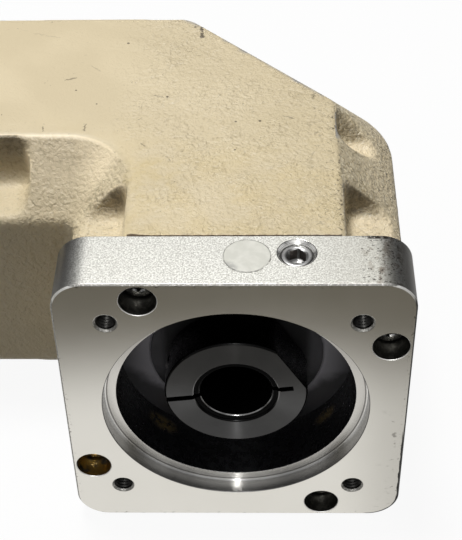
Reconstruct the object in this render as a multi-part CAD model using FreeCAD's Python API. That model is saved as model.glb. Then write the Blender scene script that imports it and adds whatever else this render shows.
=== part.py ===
# Right angle bevel gearbox for an 80 mm frame servo motor, in millimetres.
# Origin: centre of the motor face. X to the right, Y into the gearbox along the input shaft, Z up.
# The output shaft lies along X and leaves the elbow to the left.
import FreeCAD
import Part
import math
import os

# Clearances
SEAT_GAP = 0.02
RUNNING_GAP = 0.05
THREAD_GAP = 0.05
CUT_PAST = 1.0

# Motor flange
MOTOR_SHAFT_D = 19.0
MOTOR_SHAFT_REACH = 42.0
MOTOR_PILOT_D = 70.0
MOTOR_PILOT_DEPTH = 4.25
MOTOR_BOLT_CIRCLE_D = 90.0
MOTOR_TAP_D = 5.0
MOTOR_TAP_MOUTH_D = 6.1

# Adapter plate between motor and casting
PLATE_WIDTH = 90.0
PLATE_THICK = 18.0
PLATE_CORNER_R = 8.5
PLATE_EDGE = 0.4
PLATE_BORE_D = 63.5
PLATE_SPIGOT_D = 70.0
PLATE_SPIGOT_LEN = 2.0
ADAPTER_SCREW = 5.0
ADAPTER_SCREW_LEN = 16.0
ADAPTER_SCREW_CIRCLE_D = 91.5
ADAPTER_SCREW_ANGLE = 30.76
ADAPTER_SEAT_DEPTH = 11.0
COUNTERBORE_GAP = 0.5
SHANK_GAP = 0.25
TAP_RUN_OUT = 2.0
CORNER_COUNT = 4

# Cap screws, by their standard
CAP_HEAD_ADDED = 1.0
CAP_HEX_UNDER = 1.0

# Access hole for the clamp screw, with its plug, and the sticker beside it
PLUG_D = 8.0
PLUG_LEN = 10.0
PLUG_SUNK = 0.9
PLUG_HEX = 4.0
PLUG_HEX_DEPTH = 5.0
PLUG_MOUTH_D = 10.0
STICKER_D = 12.0
STICKER_THICK = 0.15
STICKER_X = 3.3
STICKER_Y = 10.2

# Clamp collar on the slotted end of the pinion shaft
COLLAR_FRONT = 5.4
COLLAR_WIDTH = 12.0
COLLAR_D = 38.0
COLLAR_EDGE = 0.45
COLLAR_SLOT = 1.4
COLLAR_HALF_SLOT_R = 15.2
COLLAR_FLAT_R = 17.1
COLLAR_FLAT_ANGLE = 23.0
COLLAR_TURN = 7.5
CLAMP_SCREW = 5.0
CLAMP_SCREW_LEN = 10.0
CLAMP_SCREW_OFFSET = 15.6
CLAMP_SEAT = 3.0

# Pinion shaft, its seal, nut and circlip
SLEEVE_D = 22.0
SLEEVE_SUNK = 0.5
SLEEVE_EDGE = 0.5
SLEEVE_STEP_GAP = 0.6
SHAFT_SHOULDER_D = 33.0
SHAFT_SHOULDER_LEN = 1.6
PINION_BACK = 0.42
INPUT_SEAL_WIDTH = 7.0
INPUT_NUT_GAP = 1.0
INPUT_NUT_WIDTH = 6.0
INPUT_NUT_D = 37.0
CIRCLIP_THICK = 1.75
CIRCLIP_IN = 3.0
CIRCLIP_DEPTH = 1.25
CIRCLIP_OPENING = 50.0

# Taper roller bearings of the pinion shaft
INPUT_BORE_D = 30.0
INPUT_OUTSIDE_D = 47.0
INPUT_BEARING_WIDTH = 12.0
INPUT_CUP_WIDTH = 9.0
INPUT_ROLLER_D = 4.0
INPUT_ROLLER_LEN = 7.6
INPUT_ROLLER_COUNT = 16

# Taper roller bearings of the output shaft
OUTPUT_BORE_D = 35.0
OUTPUT_OUTSIDE_D = 62.0
OUTPUT_BEARING_WIDTH = 18.0
OUTPUT_CUP_WIDTH = 14.0
OUTPUT_ROLLER_D = 6.4
OUTPUT_ROLLER_LEN = 11.5
OUTPUT_ROLLER_COUNT = 15

# Common bearing proportions
ROLLER_TILT = 12.0
RACE_GAP = 0.03
ROLLER_END_GAP = 0.15
CONE_RIB_SHARE = 0.28
CAGE_THICK = 0.7
CAGE_LIFT = 0.2
CAGE_RING = 1.0
CAGE_GAP = 0.12

# Bevel gear pair
MODULE = 1.75
PINION_TEETH = 16
GEAR_TEETH = 32
FACE_WIDTH = 10.0
PRESSURE_ANGLE = 20.0
ROOT_SHARE = 1.25
BACKLASH = 0.2
FLANK_POINTS = 6
RIM_DEPTH = 2.0
GEAR_FRONT = 13.0
GEAR_RIM_TO_BACK = 11.04
GEAR_HUB_D = 43.0
GEAR_HUB_STEP = 7.0
PINION_NOSE_D = 10.0

# Output shaft and what is stacked on it
GEAR_SEAT_D = 30.0
GEAR_THREAD_D = 24.0
GEAR_NUT_WIDTH = 5.0
GEAR_NUT_D = 33.0
NUT_SLOT_WIDTH = 4.0
NUT_SLOT_DEPTH = 2.0
SHAFT_STEP_GAP = 0.5
SHAFT_EDGE = 1.0
KEY_WIDTH = 8.0
KEY_HEIGHT = 7.0
KEY_LEN = 11.0
KEY_SUNK = 4.0
KEY_ROOF_GAP = 0.3
BEARING_SPACER_LEN = 13.0
BEARING_SPACER_D = 42.0
SEAL_JOURNAL_D = 40.0
OUTPUT_SHAFT_D = 22.0
OUTPUT_SHAFT_LEN = 36.0
CENTRE_HOLE_D = 6.8
CENTRE_HOLE_DEPTH = 20.0

# Output cover with the mounting flange
COVER_WIDTH = 90.0
COVER_THICK = 12.0
COVER_SPIGOT_LEN = 1.5
COVER_SPIGOT_ID = 54.0
COVER_SPIGOT_DEEP = 2.5
COVER_LIP_GAP = 2.0
OUTPUT_SHIM_THICK = 0.5
OUTPUT_PILOT_D = 80.0
OUTPUT_PILOT_LEN = 4.0
OUTPUT_SEAL_D = 55.0
OUTPUT_SEAL_WIDTH = 7.0
OUTPUT_SEAL_SUNK = 1.0
OUTPUT_BOLT_CIRCLE_D = 100.0
OUTPUT_BOLT_HOLE_D = 6.6
COVER_SCREW = 4.0
COVER_SCREW_LEN = 16.0
COVER_SCREW_CIRCLE_D = 71.0
COVER_SCREW_SUNK = 1.5
O_RING_WIDTH = 2.2
O_RING_ROUND = 0.45

# Elbow casting
NECK_HALF = 44.3
ARM_HALF = 45.5
CAST_HALF_HEIGHT = 44.5
BEVEL = 17.0
DIAGONAL_FROM_APEX = 26.2
INNER_CORNER_R = 3.0
OUTER_CORNER_R = 25.0
CAST_EDGE_R = 1.2
CAST_SIDE_R = 2.5
POCKET_CORNER_R = 4.5
POCKET_DRAFT = 0.03
NECK_POCKET_FLOOR = 30.3
NECK_POCKET_LEN = 24.5
NECK_POCKET_INSET = 1.4
ARM_POCKET_FLOOR = 28.5
ARM_POCKET_LEN = 21.0
ARM_POCKET_INSET = 0.8
ELBOW_POCKET_FLOOR = 33.0
ELBOW_POCKET_INSET = 0.5
ELBOW_POCKET_NEAR = 20.2
ELBOW_POCKET_FAR = 26.2
ELBOW_NEAR_LEAN = 0.6
ELBOW_FAR_LEAN = 0.43
GEAR_ROOM = 0.7
BEARING_LIP = 3.0
CHAMBER_END = 4.0
PINION_CHAMBER_END = 14.0

# Oil plug in the back wall
OIL_PLUG_D = 10.0
OIL_PLUG_LEN = 9.0
OIL_PLUG_HEAD_D = 14.0
OIL_PLUG_HEAD = 3.5
OIL_PLUG_HEX = 5.0
OIL_WASHER_D = 15.0
OIL_WASHER_THICK = 1.2

# Seal section
SEAL_WALL = 1.5
SEAL_CASE = 1.8
SEAL_LIP_HEIGHT = 2.2
SEAL_LIP_ROOM = 0.8
SEAL_LIP_BACK = 1.5
SEAL_EDGE_BACK = 2.8

# Pitch cones of the gear pair, which meet at the apex
PINION_CONE = math.atan2(PINION_TEETH, GEAR_TEETH)
GEAR_CONE = math.pi / 2 - PINION_CONE
CONE_DISTANCE = MODULE * math.hypot(PINION_TEETH, GEAR_TEETH) / 2
TOE_SHARE = (CONE_DISTANCE - FACE_WIDTH) / CONE_DISTANCE

# Stations along the input shaft
CAST_FRONT = PLATE_THICK
INPUT_SEAL_AT = CAST_FRONT + PLATE_SPIGOT_LEN
INPUT_NUT_AT = INPUT_SEAL_AT + INPUT_SEAL_WIDTH + INPUT_NUT_GAP
INPUT_BEARINGS_AT = INPUT_NUT_AT + INPUT_NUT_WIDTH
INPUT_BEARINGS_MID = INPUT_BEARINGS_AT + INPUT_BEARING_WIDTH
INPUT_BEARINGS_END = INPUT_BEARINGS_MID + INPUT_BEARING_WIDTH
SHOULDER_END = INPUT_BEARINGS_END + SHAFT_SHOULDER_LEN
PINION_HEEL = CONE_DISTANCE * math.cos(PINION_CONE) + ROOT_SHARE * MODULE * math.sin(PINION_CONE)
OUT_Y = SHOULDER_END + PINION_BACK + PINION_HEEL
CLAMP_SCREW_Y = COLLAR_FRONT + COLLAR_WIDTH / 2

# Stations along the output shaft, counted from the apex towards the output end
GEAR_HEEL = CONE_DISTANCE * math.cos(GEAR_CONE) + ROOT_SHARE * MODULE * math.sin(GEAR_CONE)
GEAR_BACK = GEAR_HEEL + GEAR_RIM_TO_BACK
GEAR_NUT_AT = GEAR_FRONT - GEAR_NUT_WIDTH
INNER_BEARING_END = GEAR_BACK + OUTPUT_BEARING_WIDTH
OUTER_BEARING_AT = INNER_BEARING_END + BEARING_SPACER_LEN
OUTER_BEARING_END = OUTER_BEARING_AT + OUTPUT_BEARING_WIDTH
COVER_SPIGOT_AT = OUTER_BEARING_END + OUTPUT_SHIM_THICK
CAST_END = COVER_SPIGOT_AT + COVER_SPIGOT_LEN
COVER_FACE = CAST_END + COVER_THICK
PILOT_FACE = COVER_FACE + OUTPUT_PILOT_LEN
OUTPUT_SEAL_AT = PILOT_FACE - OUTPUT_SEAL_SUNK
COVER_LIP_AT = OUTPUT_SEAL_AT - OUTPUT_SEAL_WIDTH
COVER_SCREW_SEAT = PILOT_FACE - COVER_SCREW_SUNK - COVER_SCREW
SHAFT_END = PILOT_FACE + OUTPUT_SHAFT_LEN
ARM_FRONT = OUT_Y - ARM_HALF
ARM_BACK = OUT_Y + ARM_HALF


def vec(x, y, z):
    return FreeCAD.Vector(x, y, z)


ORIGIN = vec(0, 0, 0)
UP = vec(0, 0, 1)
APEX = vec(0, OUT_Y, 0)
INPUT_LINE = FreeCAD.Placement(ORIGIN, FreeCAD.Rotation(UP, vec(0, 1, 0)))
PINION_LINE = FreeCAD.Placement(APEX, FreeCAD.Rotation(UP, vec(0, -1, 0)))
OUTPUT_LINE = FreeCAD.Placement(APEX, FreeCAD.Rotation(vec(0, 1, 0), -90))


def turned(points, line):
    """Solid of revolution about a shaft line, from (along, radius) points."""
    corners = [vec(radius, 0, along) for along, radius in points]
    solid = Part.Face(Part.makePolygon(corners + corners[:1])).revolve(ORIGIN, UP, 360)
    solid.Placement = line
    return solid


def ring(start, end, inner, outer, line):
    return turned([(start, inner), (start, outer), (end, outer), (end, inner)], line)


def broken_ring(start, end, inner, outer, edge, line):
    """Ring with its two outer corners broken."""
    points = [(start, inner), (start, outer - edge), (start + edge, outer)]
    points += [(end - edge, outer), (end, outer - edge), (end, inner)]
    return turned(points, line)


def rod(start, direction, length, diameter):
    return Part.makeCylinder(diameter / 2, length, start, direction)


def countersink(start, direction, mouth, hole):
    """Cone that widens a hole to its mouth, at 45 degrees."""
    depth = (mouth - hole) / 2
    return Part.makeCone(mouth / 2, hole / 2, depth, start, direction)


def hexagon(start, direction, across_flats, depth):
    """Six sided socket cutter."""
    reach = across_flats / math.sqrt(3)
    corners = [vec(reach * math.cos(turn), reach * math.sin(turn), 0)
               for turn in [math.radians(60 * side) for side in range(7)]]
    prism = Part.Face(Part.makePolygon(corners)).extrude(vec(0, 0, depth))
    prism.Placement = FreeCAD.Placement(start, FreeCAD.Rotation(UP, direction))
    return prism


def head_diameter(thread):
    """Head of a cap screw, by its standard."""
    return 1.5 * thread + CAP_HEAD_ADDED


def cap_screw(thread, length, seat, direction):
    """Socket head cap screw, its head resting on the seat point."""
    top = seat - direction * thread
    head = rod(top, direction, thread, head_diameter(thread))
    head = head.cut(hexagon(top, direction, thread - CAP_HEX_UNDER, thread / 2))
    return head.fuse(rod(seat, direction, length, thread)).removeSplitter()


def around_input(diameter, angle, y):
    """Point on a circle about the input shaft, the angle counted from right towards up."""
    turn = math.radians(angle)
    return vec(diameter / 2 * math.cos(turn), y, diameter / 2 * math.sin(turn))


def around_output(diameter, angle, along):
    """Point on a circle about the output shaft."""
    turn = math.radians(angle)
    return vec(-along, OUT_Y + diameter / 2 * math.cos(turn), diameter / 2 * math.sin(turn))


def quarter_turns(first):
    return [first + 360 / CORNER_COUNT * step for step in range(CORNER_COUNT)]


def rounded_wire(corners, place):
    """Closed outline from (x, y, radius) corners, set in a plane by a function of x and y."""
    edges = []
    starts = []
    ends = []
    for index, (x, y, radius) in enumerate(corners):
        before = corners[index - 1]
        after = corners[(index + 1) % len(corners)]
        point = vec(x, y, 0)
        back = (vec(before[0], before[1], 0) - point).normalize()
        ahead = (vec(after[0], after[1], 0) - point).normalize()
        if radius == 0:
            starts.append(point)
            ends.append(point)
            continue
        half = back.getAngle(ahead) / 2
        bisector = (back + ahead).normalize()
        start = point + back * (radius / math.tan(half))
        end = point + ahead * (radius / math.tan(half))
        middle = point + bisector * (radius / math.sin(half) - radius)
        edges.append(Part.Arc(place(start), place(middle), place(end)).toShape())
        starts.append(start)
        ends.append(end)
    for index, end in enumerate(ends):
        following = starts[(index + 1) % len(starts)]
        edges.append(Part.LineSegment(place(end), place(following)).toShape())
    return Part.Wire(Part.__sortEdges__(edges))


def square_plate(side, corner_radius, place, thickness):
    """Square plate with round corners."""
    half = side / 2
    corners = [(-half, -half, corner_radius), (half, -half, corner_radius)]
    corners += [(half, half, corner_radius), (-half, half, corner_radius)]
    return Part.Face(rounded_wire(corners, place)).extrude(thickness)


def elbow_outline(inset, z):
    """Plan outline of the casting, drawn in by a distance all along its walls."""
    side = NECK_HALF - inset
    front = ARM_FRONT + inset
    back = ARM_BACK - inset
    diagonal = OUT_Y + (DIAGONAL_FROM_APEX - inset) * math.sqrt(2)
    outer = OUTER_CORNER_R - inset
    corners = [(-side, CAST_FRONT, 0), (side, CAST_FRONT, 0)]
    corners += [(side, diagonal - side, outer), (diagonal - back, back, outer)]
    corners += [(-CAST_END, back, 0), (-CAST_END, front, 0), (-side, front, INNER_CORNER_R + inset)]
    return rounded_wire(corners, lambda point: vec(point.x, point.y, z))


def pocket(sides, floor, leans):
    """Cutter for a cast pocket between its lowest and highest x and y; a side with no lean is open.

    The other walls lean out as they rise, and are rounded where they meet each other and the floor.
    """
    height = BEVEL + CUT_PAST
    x_low, x_high, y_low, y_high = sides
    lean_x_low, lean_x_high, lean_y_low, lean_y_high = [lean * height for lean in leans]
    block = Part.makeWedge(x_low, floor, -y_high, -y_high - lean_y_high, x_low - lean_x_low,
                           x_high, floor + height, -y_low, -y_low + lean_y_low, x_high + lean_x_high)
    block.rotate(ORIGIN, vec(1, 0, 0), 90)
    ways = [-UP]
    outward = (vec(-1, 0, 0), vec(1, 0, 0), vec(0, -1, 0), vec(0, 1, 0))
    ways += [way for way, lean in zip(outward, leans) if lean > 0]
    turn = math.pi / 4
    walls = [face for face in block.Faces if any(face.normalAt(0, 0).getAngle(way) < turn for way in ways)]
    rounded = []
    for edge in block.Edges:
        if sum(any(edge.isSame(side) for side in wall.Edges) for wall in walls) > 1:
            rounded.append(edge)
    return block.makeFillet(POCKET_CORNER_R, rounded)


def pockets():
    """The pockets in the bevels of neck, arm and elbow, on the upper and the lower side."""
    neck_in = NECK_HALF - BEVEL + NECK_POCKET_INSET
    arm_in = ARM_HALF - BEVEL + ARM_POCKET_INSET
    elbow_x = NECK_HALF - BEVEL + ELBOW_POCKET_INSET
    elbow_y = OUT_Y + ARM_HALF - BEVEL + ELBOW_POCKET_INSET
    neck_out = NECK_HALF + CUT_PAST
    arm_out = ARM_HALF + CUT_PAST
    neck_ys = (CAST_FRONT - CUT_PAST, CAST_FRONT + NECK_POCKET_LEN)
    arm_xs = (-CAST_END - CUT_PAST, ARM_POCKET_LEN - CAST_END)
    draft = POCKET_DRAFT
    near = ELBOW_NEAR_LEAN
    far = ELBOW_FAR_LEAN
    cutters = [
        pocket((neck_in, neck_out, *neck_ys), NECK_POCKET_FLOOR, (draft, 0, 0, draft)),
        pocket((-neck_out, -neck_in, *neck_ys), NECK_POCKET_FLOOR, (0, draft, 0, draft)),
        pocket((*arm_xs, OUT_Y + arm_in, OUT_Y + arm_out), ARM_POCKET_FLOOR, (0, draft, draft, 0)),
        pocket((*arm_xs, OUT_Y - arm_out, OUT_Y - arm_in), ARM_POCKET_FLOOR, (0, draft, 0, draft)),
        pocket((elbow_x, neck_out, OUT_Y - ELBOW_POCKET_FAR, OUT_Y - ELBOW_POCKET_NEAR),
               ELBOW_POCKET_FLOOR, (draft, 0, far, near)),
        pocket((-ELBOW_POCKET_FAR, -ELBOW_POCKET_NEAR, elbow_y, OUT_Y + arm_out),
               ELBOW_POCKET_FLOOR, (far, near, draft, 0)),
    ]
    return cutters + [cutter.mirror(ORIGIN, UP) for cutter in cutters]


def edges_at_height(body, height):
    """Long edges of the casting at a height above or below its middle, without those of its two ends."""
    found = []
    for edge in body.Edges:
        middle = edge.CenterOfMass
        at_end = middle.y - CAST_FRONT < SEAT_GAP or middle.x + CAST_END < SEAT_GAP
        level = all(abs(abs(vertex.Z) - height) < SEAT_GAP for vertex in edge.Vertexes)
        if level and not at_end:
            found.append(edge)
    return found


def elbow_body():
    """Cast elbow: upright walls, a bevel all round above and below, and the pockets."""
    wall_half = CAST_HALF_HEIGHT - BEVEL
    wall = Part.Face(elbow_outline(0.0, -wall_half)).extrude(vec(0, 0, 2 * wall_half))
    outlines = [elbow_outline(0.0, wall_half), elbow_outline(BEVEL, CAST_HALF_HEIGHT)]
    crown = Part.makeLoft(outlines, True, True)
    body = wall.fuse([crown, crown.mirror(ORIGIN, UP)]).removeSplitter()
    body = body.makeFillet(CAST_EDGE_R, edges_at_height(body, CAST_HALF_HEIGHT))
    body = body.makeFillet(CAST_SIDE_R, edges_at_height(body, wall_half))
    return body.cut(pockets())


def gear_housing():
    """Elbow casting with its bearing bores, gear chamber and tapped holes."""
    input_r = INPUT_OUTSIDE_D / 2
    output_r = OUTPUT_OUTSIDE_D / 2
    gear_tip = tooth_point(GEAR_CONE, MODULE)[1]
    chamber_r = gear_tip + GEAR_ROOM
    groove = INPUT_BEARINGS_AT - CIRCLIP_THICK
    pinion_end = OUT_Y - PINION_CHAMBER_END
    bores = [
        ring(CAST_FRONT - CUT_PAST, INPUT_SEAL_AT, 0, PLATE_SPIGOT_D / 2, INPUT_LINE),
        ring(INPUT_SEAL_AT - CUT_PAST, INPUT_BEARINGS_END, 0, input_r + SEAT_GAP, INPUT_LINE),
        ring(groove, INPUT_BEARINGS_AT, 0, input_r + CIRCLIP_DEPTH, INPUT_LINE),
        ring(INPUT_BEARINGS_END - CUT_PAST, pinion_end, 0, input_r - BEARING_LIP, INPUT_LINE),
        ring(CHAMBER_END, GEAR_BACK + CUT_PAST, 0, chamber_r, OUTPUT_LINE),
        ring(GEAR_BACK, CAST_END + CUT_PAST, 0, output_r + SEAT_GAP, OUTPUT_LINE),
        ring(COVER_SPIGOT_AT, CAST_END + CUT_PAST, 0, output_r + O_RING_WIDTH, OUTPUT_LINE),
    ]
    screw_depth = ADAPTER_SEAT_DEPTH + ADAPTER_SCREW_LEN + TAP_RUN_OUT - CAST_FRONT
    for angle in quarter_turns(ADAPTER_SCREW_ANGLE):
        start = around_input(ADAPTER_SCREW_CIRCLE_D, angle, CAST_FRONT)
        bores.append(rod(start, vec(0, 1, 0), screw_depth, ADAPTER_SCREW + 2 * THREAD_GAP))
    cover_depth = CAST_END - COVER_SCREW_SEAT + COVER_SCREW_LEN + TAP_RUN_OUT
    for angle in quarter_turns(0):
        start = around_output(COVER_SCREW_CIRCLE_D, angle, CAST_END)
        bores.append(rod(start, vec(1, 0, 0), cover_depth, COVER_SCREW + 2 * THREAD_GAP))
    bores.append(rod(oil_plug_point(), vec(0, -1, 0), ARM_HALF, OIL_PLUG_D + 2 * THREAD_GAP))
    return elbow_body().cut(bores)


def oil_plug_point():
    """Middle of the oil plug's seat on the back wall, between the output bearings."""
    return vec(-(INNER_BEARING_END + OUTER_BEARING_AT) / 2, ARM_BACK, 0)


def oil_plug_washer():
    start = oil_plug_point()
    washer = rod(start, vec(0, 1, 0), OIL_WASHER_THICK, OIL_WASHER_D)
    return washer.cut(rod(start, vec(0, 1, 0), OIL_WASHER_THICK, OIL_PLUG_D + 2 * THREAD_GAP))


def oil_plug():
    """Threaded plug with a round head and a hexagon socket."""
    seat = oil_plug_point() + vec(0, OIL_WASHER_THICK, 0)
    top = seat + vec(0, OIL_PLUG_HEAD, 0)
    head = rod(seat, vec(0, 1, 0), OIL_PLUG_HEAD, OIL_PLUG_HEAD_D)
    plug = head.fuse(rod(seat, vec(0, -1, 0), OIL_PLUG_LEN, OIL_PLUG_D)).removeSplitter()
    return plug.cut(hexagon(top, vec(0, -1, 0), OIL_PLUG_HEX, OIL_PLUG_HEX))


def motor_adapter_plate():
    """Square plate with the motor pilot, tapped corners, counterbores and the access hole."""
    plate = square_plate(PLATE_WIDTH, PLATE_CORNER_R, lambda point: vec(point.x, 0, point.y),
                         vec(0, PLATE_THICK, 0))
    rims = [edge for face in plate.Faces for edge in face.Edges if abs(face.normalAt(0, 0).y) > 0.5]
    plate = plate.makeChamfer(PLATE_EDGE, rims)
    plate = plate.fuse(ring(PLATE_THICK, INPUT_SEAL_AT, 0, PLATE_SPIGOT_D / 2 - SEAT_GAP, INPUT_LINE))
    through = PLATE_THICK + PLATE_SPIGOT_LEN
    into = vec(0, 1, 0)
    cuts = [
        rod(vec(0, -CUT_PAST, 0), into, MOTOR_PILOT_DEPTH + CUT_PAST, MOTOR_PILOT_D),
        rod(ORIGIN, into, through, PLATE_BORE_D),
        rod(access_point(), vec(0, 0, -1), PLATE_WIDTH / 2, PLUG_D + 2 * THREAD_GAP),
        countersink(access_point(), vec(0, 0, -1), PLUG_MOUTH_D, PLUG_D),
    ]
    for angle in quarter_turns(45):
        start = around_input(MOTOR_BOLT_CIRCLE_D, angle, 0)
        cuts.append(rod(start, into, PLATE_THICK, MOTOR_TAP_D))
        cuts.append(countersink(start, into, MOTOR_TAP_MOUTH_D, MOTOR_TAP_D))
    head_room = head_diameter(ADAPTER_SCREW) + 2 * COUNTERBORE_GAP
    for angle in quarter_turns(ADAPTER_SCREW_ANGLE):
        start = around_input(ADAPTER_SCREW_CIRCLE_D, angle, 0)
        cuts.append(rod(start, into, ADAPTER_SEAT_DEPTH, head_room))
        cuts.append(rod(start, into, PLATE_THICK, ADAPTER_SCREW + 2 * SHANK_GAP))
    return plate.cut(cuts)


def adapter_screws():
    seats = [around_input(ADAPTER_SCREW_CIRCLE_D, angle, ADAPTER_SEAT_DEPTH)
             for angle in quarter_turns(ADAPTER_SCREW_ANGLE)]
    into = vec(0, 1, 0)
    return Part.Compound([cap_screw(ADAPTER_SCREW, ADAPTER_SCREW_LEN, seat, into) for seat in seats])


def access_point():
    """Mouth of the access hole, straight above the clamp screw once the collar is turned to it."""
    return vec(CLAMP_SCREW_OFFSET, CLAMP_SCREW_Y, PLATE_WIDTH / 2)


def access_plug():
    top = access_point() - vec(0, 0, PLUG_SUNK)
    plug = rod(top, vec(0, 0, -1), PLUG_LEN, PLUG_D)
    return plug.cut(hexagon(top, vec(0, 0, -1), PLUG_HEX, PLUG_HEX_DEPTH))


def marker_sticker():
    return rod(vec(STICKER_X, STICKER_Y, PLATE_WIDTH / 2), UP, STICKER_THICK, STICKER_D)


def with_collar(shape):
    """Turns a shape about the input shaft to the collar's place at rest."""
    shape.rotate(ORIGIN, vec(0, 1, 0), -COLLAR_TURN)
    return shape


def slot_cutter(inner, outer, start, end):
    """Flat saw cut on the right of the input shaft, between two radii and two stations."""
    return Part.makeBox(outer - inner, end - start, COLLAR_SLOT, vec(inner, start, -COLLAR_SLOT / 2))


def clamp_collar():
    """Split collar: one slot right through, one halfway, a balance flat and the screw's holes."""
    end = COLLAR_FRONT + COLLAR_WIDTH
    outer = COLLAR_D / 2
    bore = SLEEVE_D / 2 + SEAT_GAP
    points = [(COLLAR_FRONT, bore + COLLAR_EDGE), (COLLAR_FRONT, outer - COLLAR_EDGE)]
    points += [(COLLAR_FRONT + COLLAR_EDGE, outer), (end - COLLAR_EDGE, outer), (end, outer - COLLAR_EDGE)]
    points += [(end, bore), (COLLAR_FRONT + COLLAR_EDGE, bore)]
    collar = turned(points, INPUT_LINE)
    flat = Part.makeBox(COLLAR_D, COLLAR_WIDTH, COLLAR_D, vec(COLLAR_FLAT_R, COLLAR_FRONT, -outer))
    flat.rotate(ORIGIN, vec(0, 1, 0), -COLLAR_FLAT_ANGLE)
    seat = vec(-CLAMP_SCREW_OFFSET, CLAMP_SCREW_Y, -CLAMP_SEAT)
    head_room = head_diameter(CLAMP_SCREW) + 2 * COUNTERBORE_GAP
    cuts = [
        slot_cutter(-outer - CUT_PAST, 0, COLLAR_FRONT, end),
        slot_cutter(0, COLLAR_HALF_SLOT_R, COLLAR_FRONT, end),
        flat,
        rod(seat, vec(0, 0, -1), outer, head_room),
        rod(seat, UP, CLAMP_SCREW_LEN + TAP_RUN_OUT, CLAMP_SCREW + 2 * THREAD_GAP),
    ]
    return with_collar(collar.cut(cuts))


def clamp_screw():
    seat = vec(-CLAMP_SCREW_OFFSET, CLAMP_SCREW_Y, -CLAMP_SEAT)
    return with_collar(cap_screw(CLAMP_SCREW, CLAMP_SCREW_LEN, seat, UP))


def back_cone(cone, distance):
    """Point (along, radius) on the back cone at a distance from the back cone's own tip."""
    return (CONE_DISTANCE / math.cos(cone) - distance * math.sin(cone), distance * math.cos(cone))


def tooth_point(cone, height):
    """Point (along, radius) on the back cone at a height over the pitch cone."""
    return back_cone(cone, CONE_DISTANCE * math.tan(cone) + height)


def tooth_flank(cone):
    """Flank of a bevel tooth as (slope, half angle) pairs from root to tip.

    The developed back cone carries a plain involute tooth. Its points are wrapped on to the cone, and
    the slope is the tangent of the angle at which a point's ray leaves the apex.
    """
    pitch = CONE_DISTANCE * math.tan(cone)
    pressure = math.radians(PRESSURE_ANGLE)
    base = pitch * math.cos(pressure)
    half = (math.pi * MODULE - BACKLASH) / (4 * pitch) + math.tan(pressure) - pressure
    root = pitch - ROOT_SHARE * MODULE
    start = max(root, base)
    tip = pitch + MODULE
    distances = [start + (tip - start) * step / (FLANK_POINTS - 1) for step in range(FLANK_POINTS)]
    flank = []
    for distance in distances:
        swing = math.acos(min(1.0, base / distance))
        along, radius = back_cone(cone, distance)
        flank.append((radius / along, (half - math.tan(swing) + swing) / math.cos(cone)))
    along, radius = back_cone(cone, root)
    return radius / along, flank


def tooth_section(teeth, cone, first_tooth, along):
    """Closed outline of all the teeth in a plane across the axis."""
    root, flank = tooth_flank(cone)

    def place(slope, angle):
        return vec(along * slope * math.cos(angle), along * slope * math.sin(angle), along)

    pitch = 2 * math.pi / teeth
    tip, tip_half = flank[-1]
    foot, foot_half = flank[0]
    edges = []
    for tooth in range(teeth):
        middle = first_tooth + pitch * tooth
        rising = Part.BSplineCurve()
        rising.interpolate([place(slope, middle - half) for slope, half in flank])
        falling = Part.BSplineCurve()
        falling.interpolate([place(slope, middle + half) for slope, half in reversed(flank)])
        over = Part.Arc(place(tip, middle - tip_half), place(tip, middle), place(tip, middle + tip_half))
        flanks = [rising, over, falling]
        if root < foot:
            before = middle - foot_half
            after = middle + foot_half
            flanks.insert(0, Part.LineSegment(place(root, before), place(foot, before)))
            flanks.append(Part.LineSegment(place(foot, after), place(root, after)))
        flanks.append(Part.Arc(place(root, middle + foot_half), place(root, middle + pitch / 2),
                               place(root, middle + pitch - foot_half)))
        edges += [curve.toShape() for curve in flanks]
    return Part.Wire(edges)


def toothed(blank, teeth, cone, first_tooth, line):
    """Cuts a turned blank to the teeth, whose flanks all run to the apex."""
    near = min(point[0] for point in blank) * TOE_SHARE
    far = max(point[0] for point in blank) + CUT_PAST
    sections = [tooth_section(teeth, cone, first_tooth, along) for along in (near, far)]
    teeth_solid = Part.makeLoft(sections, True, True)
    teeth_solid.Placement = line
    return turned(blank, line).common(teeth_solid)


def pinion_head():
    """Pinion teeth on the solid end of the shaft."""
    heel_tip = tooth_point(PINION_CONE, 2 * MODULE)
    heel_root = tooth_point(PINION_CONE, -ROOT_SHARE * MODULE - SEAT_GAP)
    shoulder = OUT_Y - SHOULDER_END
    toe_tip = (TOE_SHARE * heel_tip[0], TOE_SHARE * heel_tip[1])
    nose_r = PINION_NOSE_D / 2
    nose_at = toe_tip[0] + (toe_tip[1] - nose_r) * math.tan(PINION_CONE)
    blank = [heel_tip, heel_root, (shoulder, heel_root[1]), (shoulder, 0)]
    blank += [(nose_at, 0), (nose_at, nose_r), toe_tip]
    return toothed(blank, PINION_TEETH, PINION_CONE, math.pi, PINION_LINE)


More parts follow.
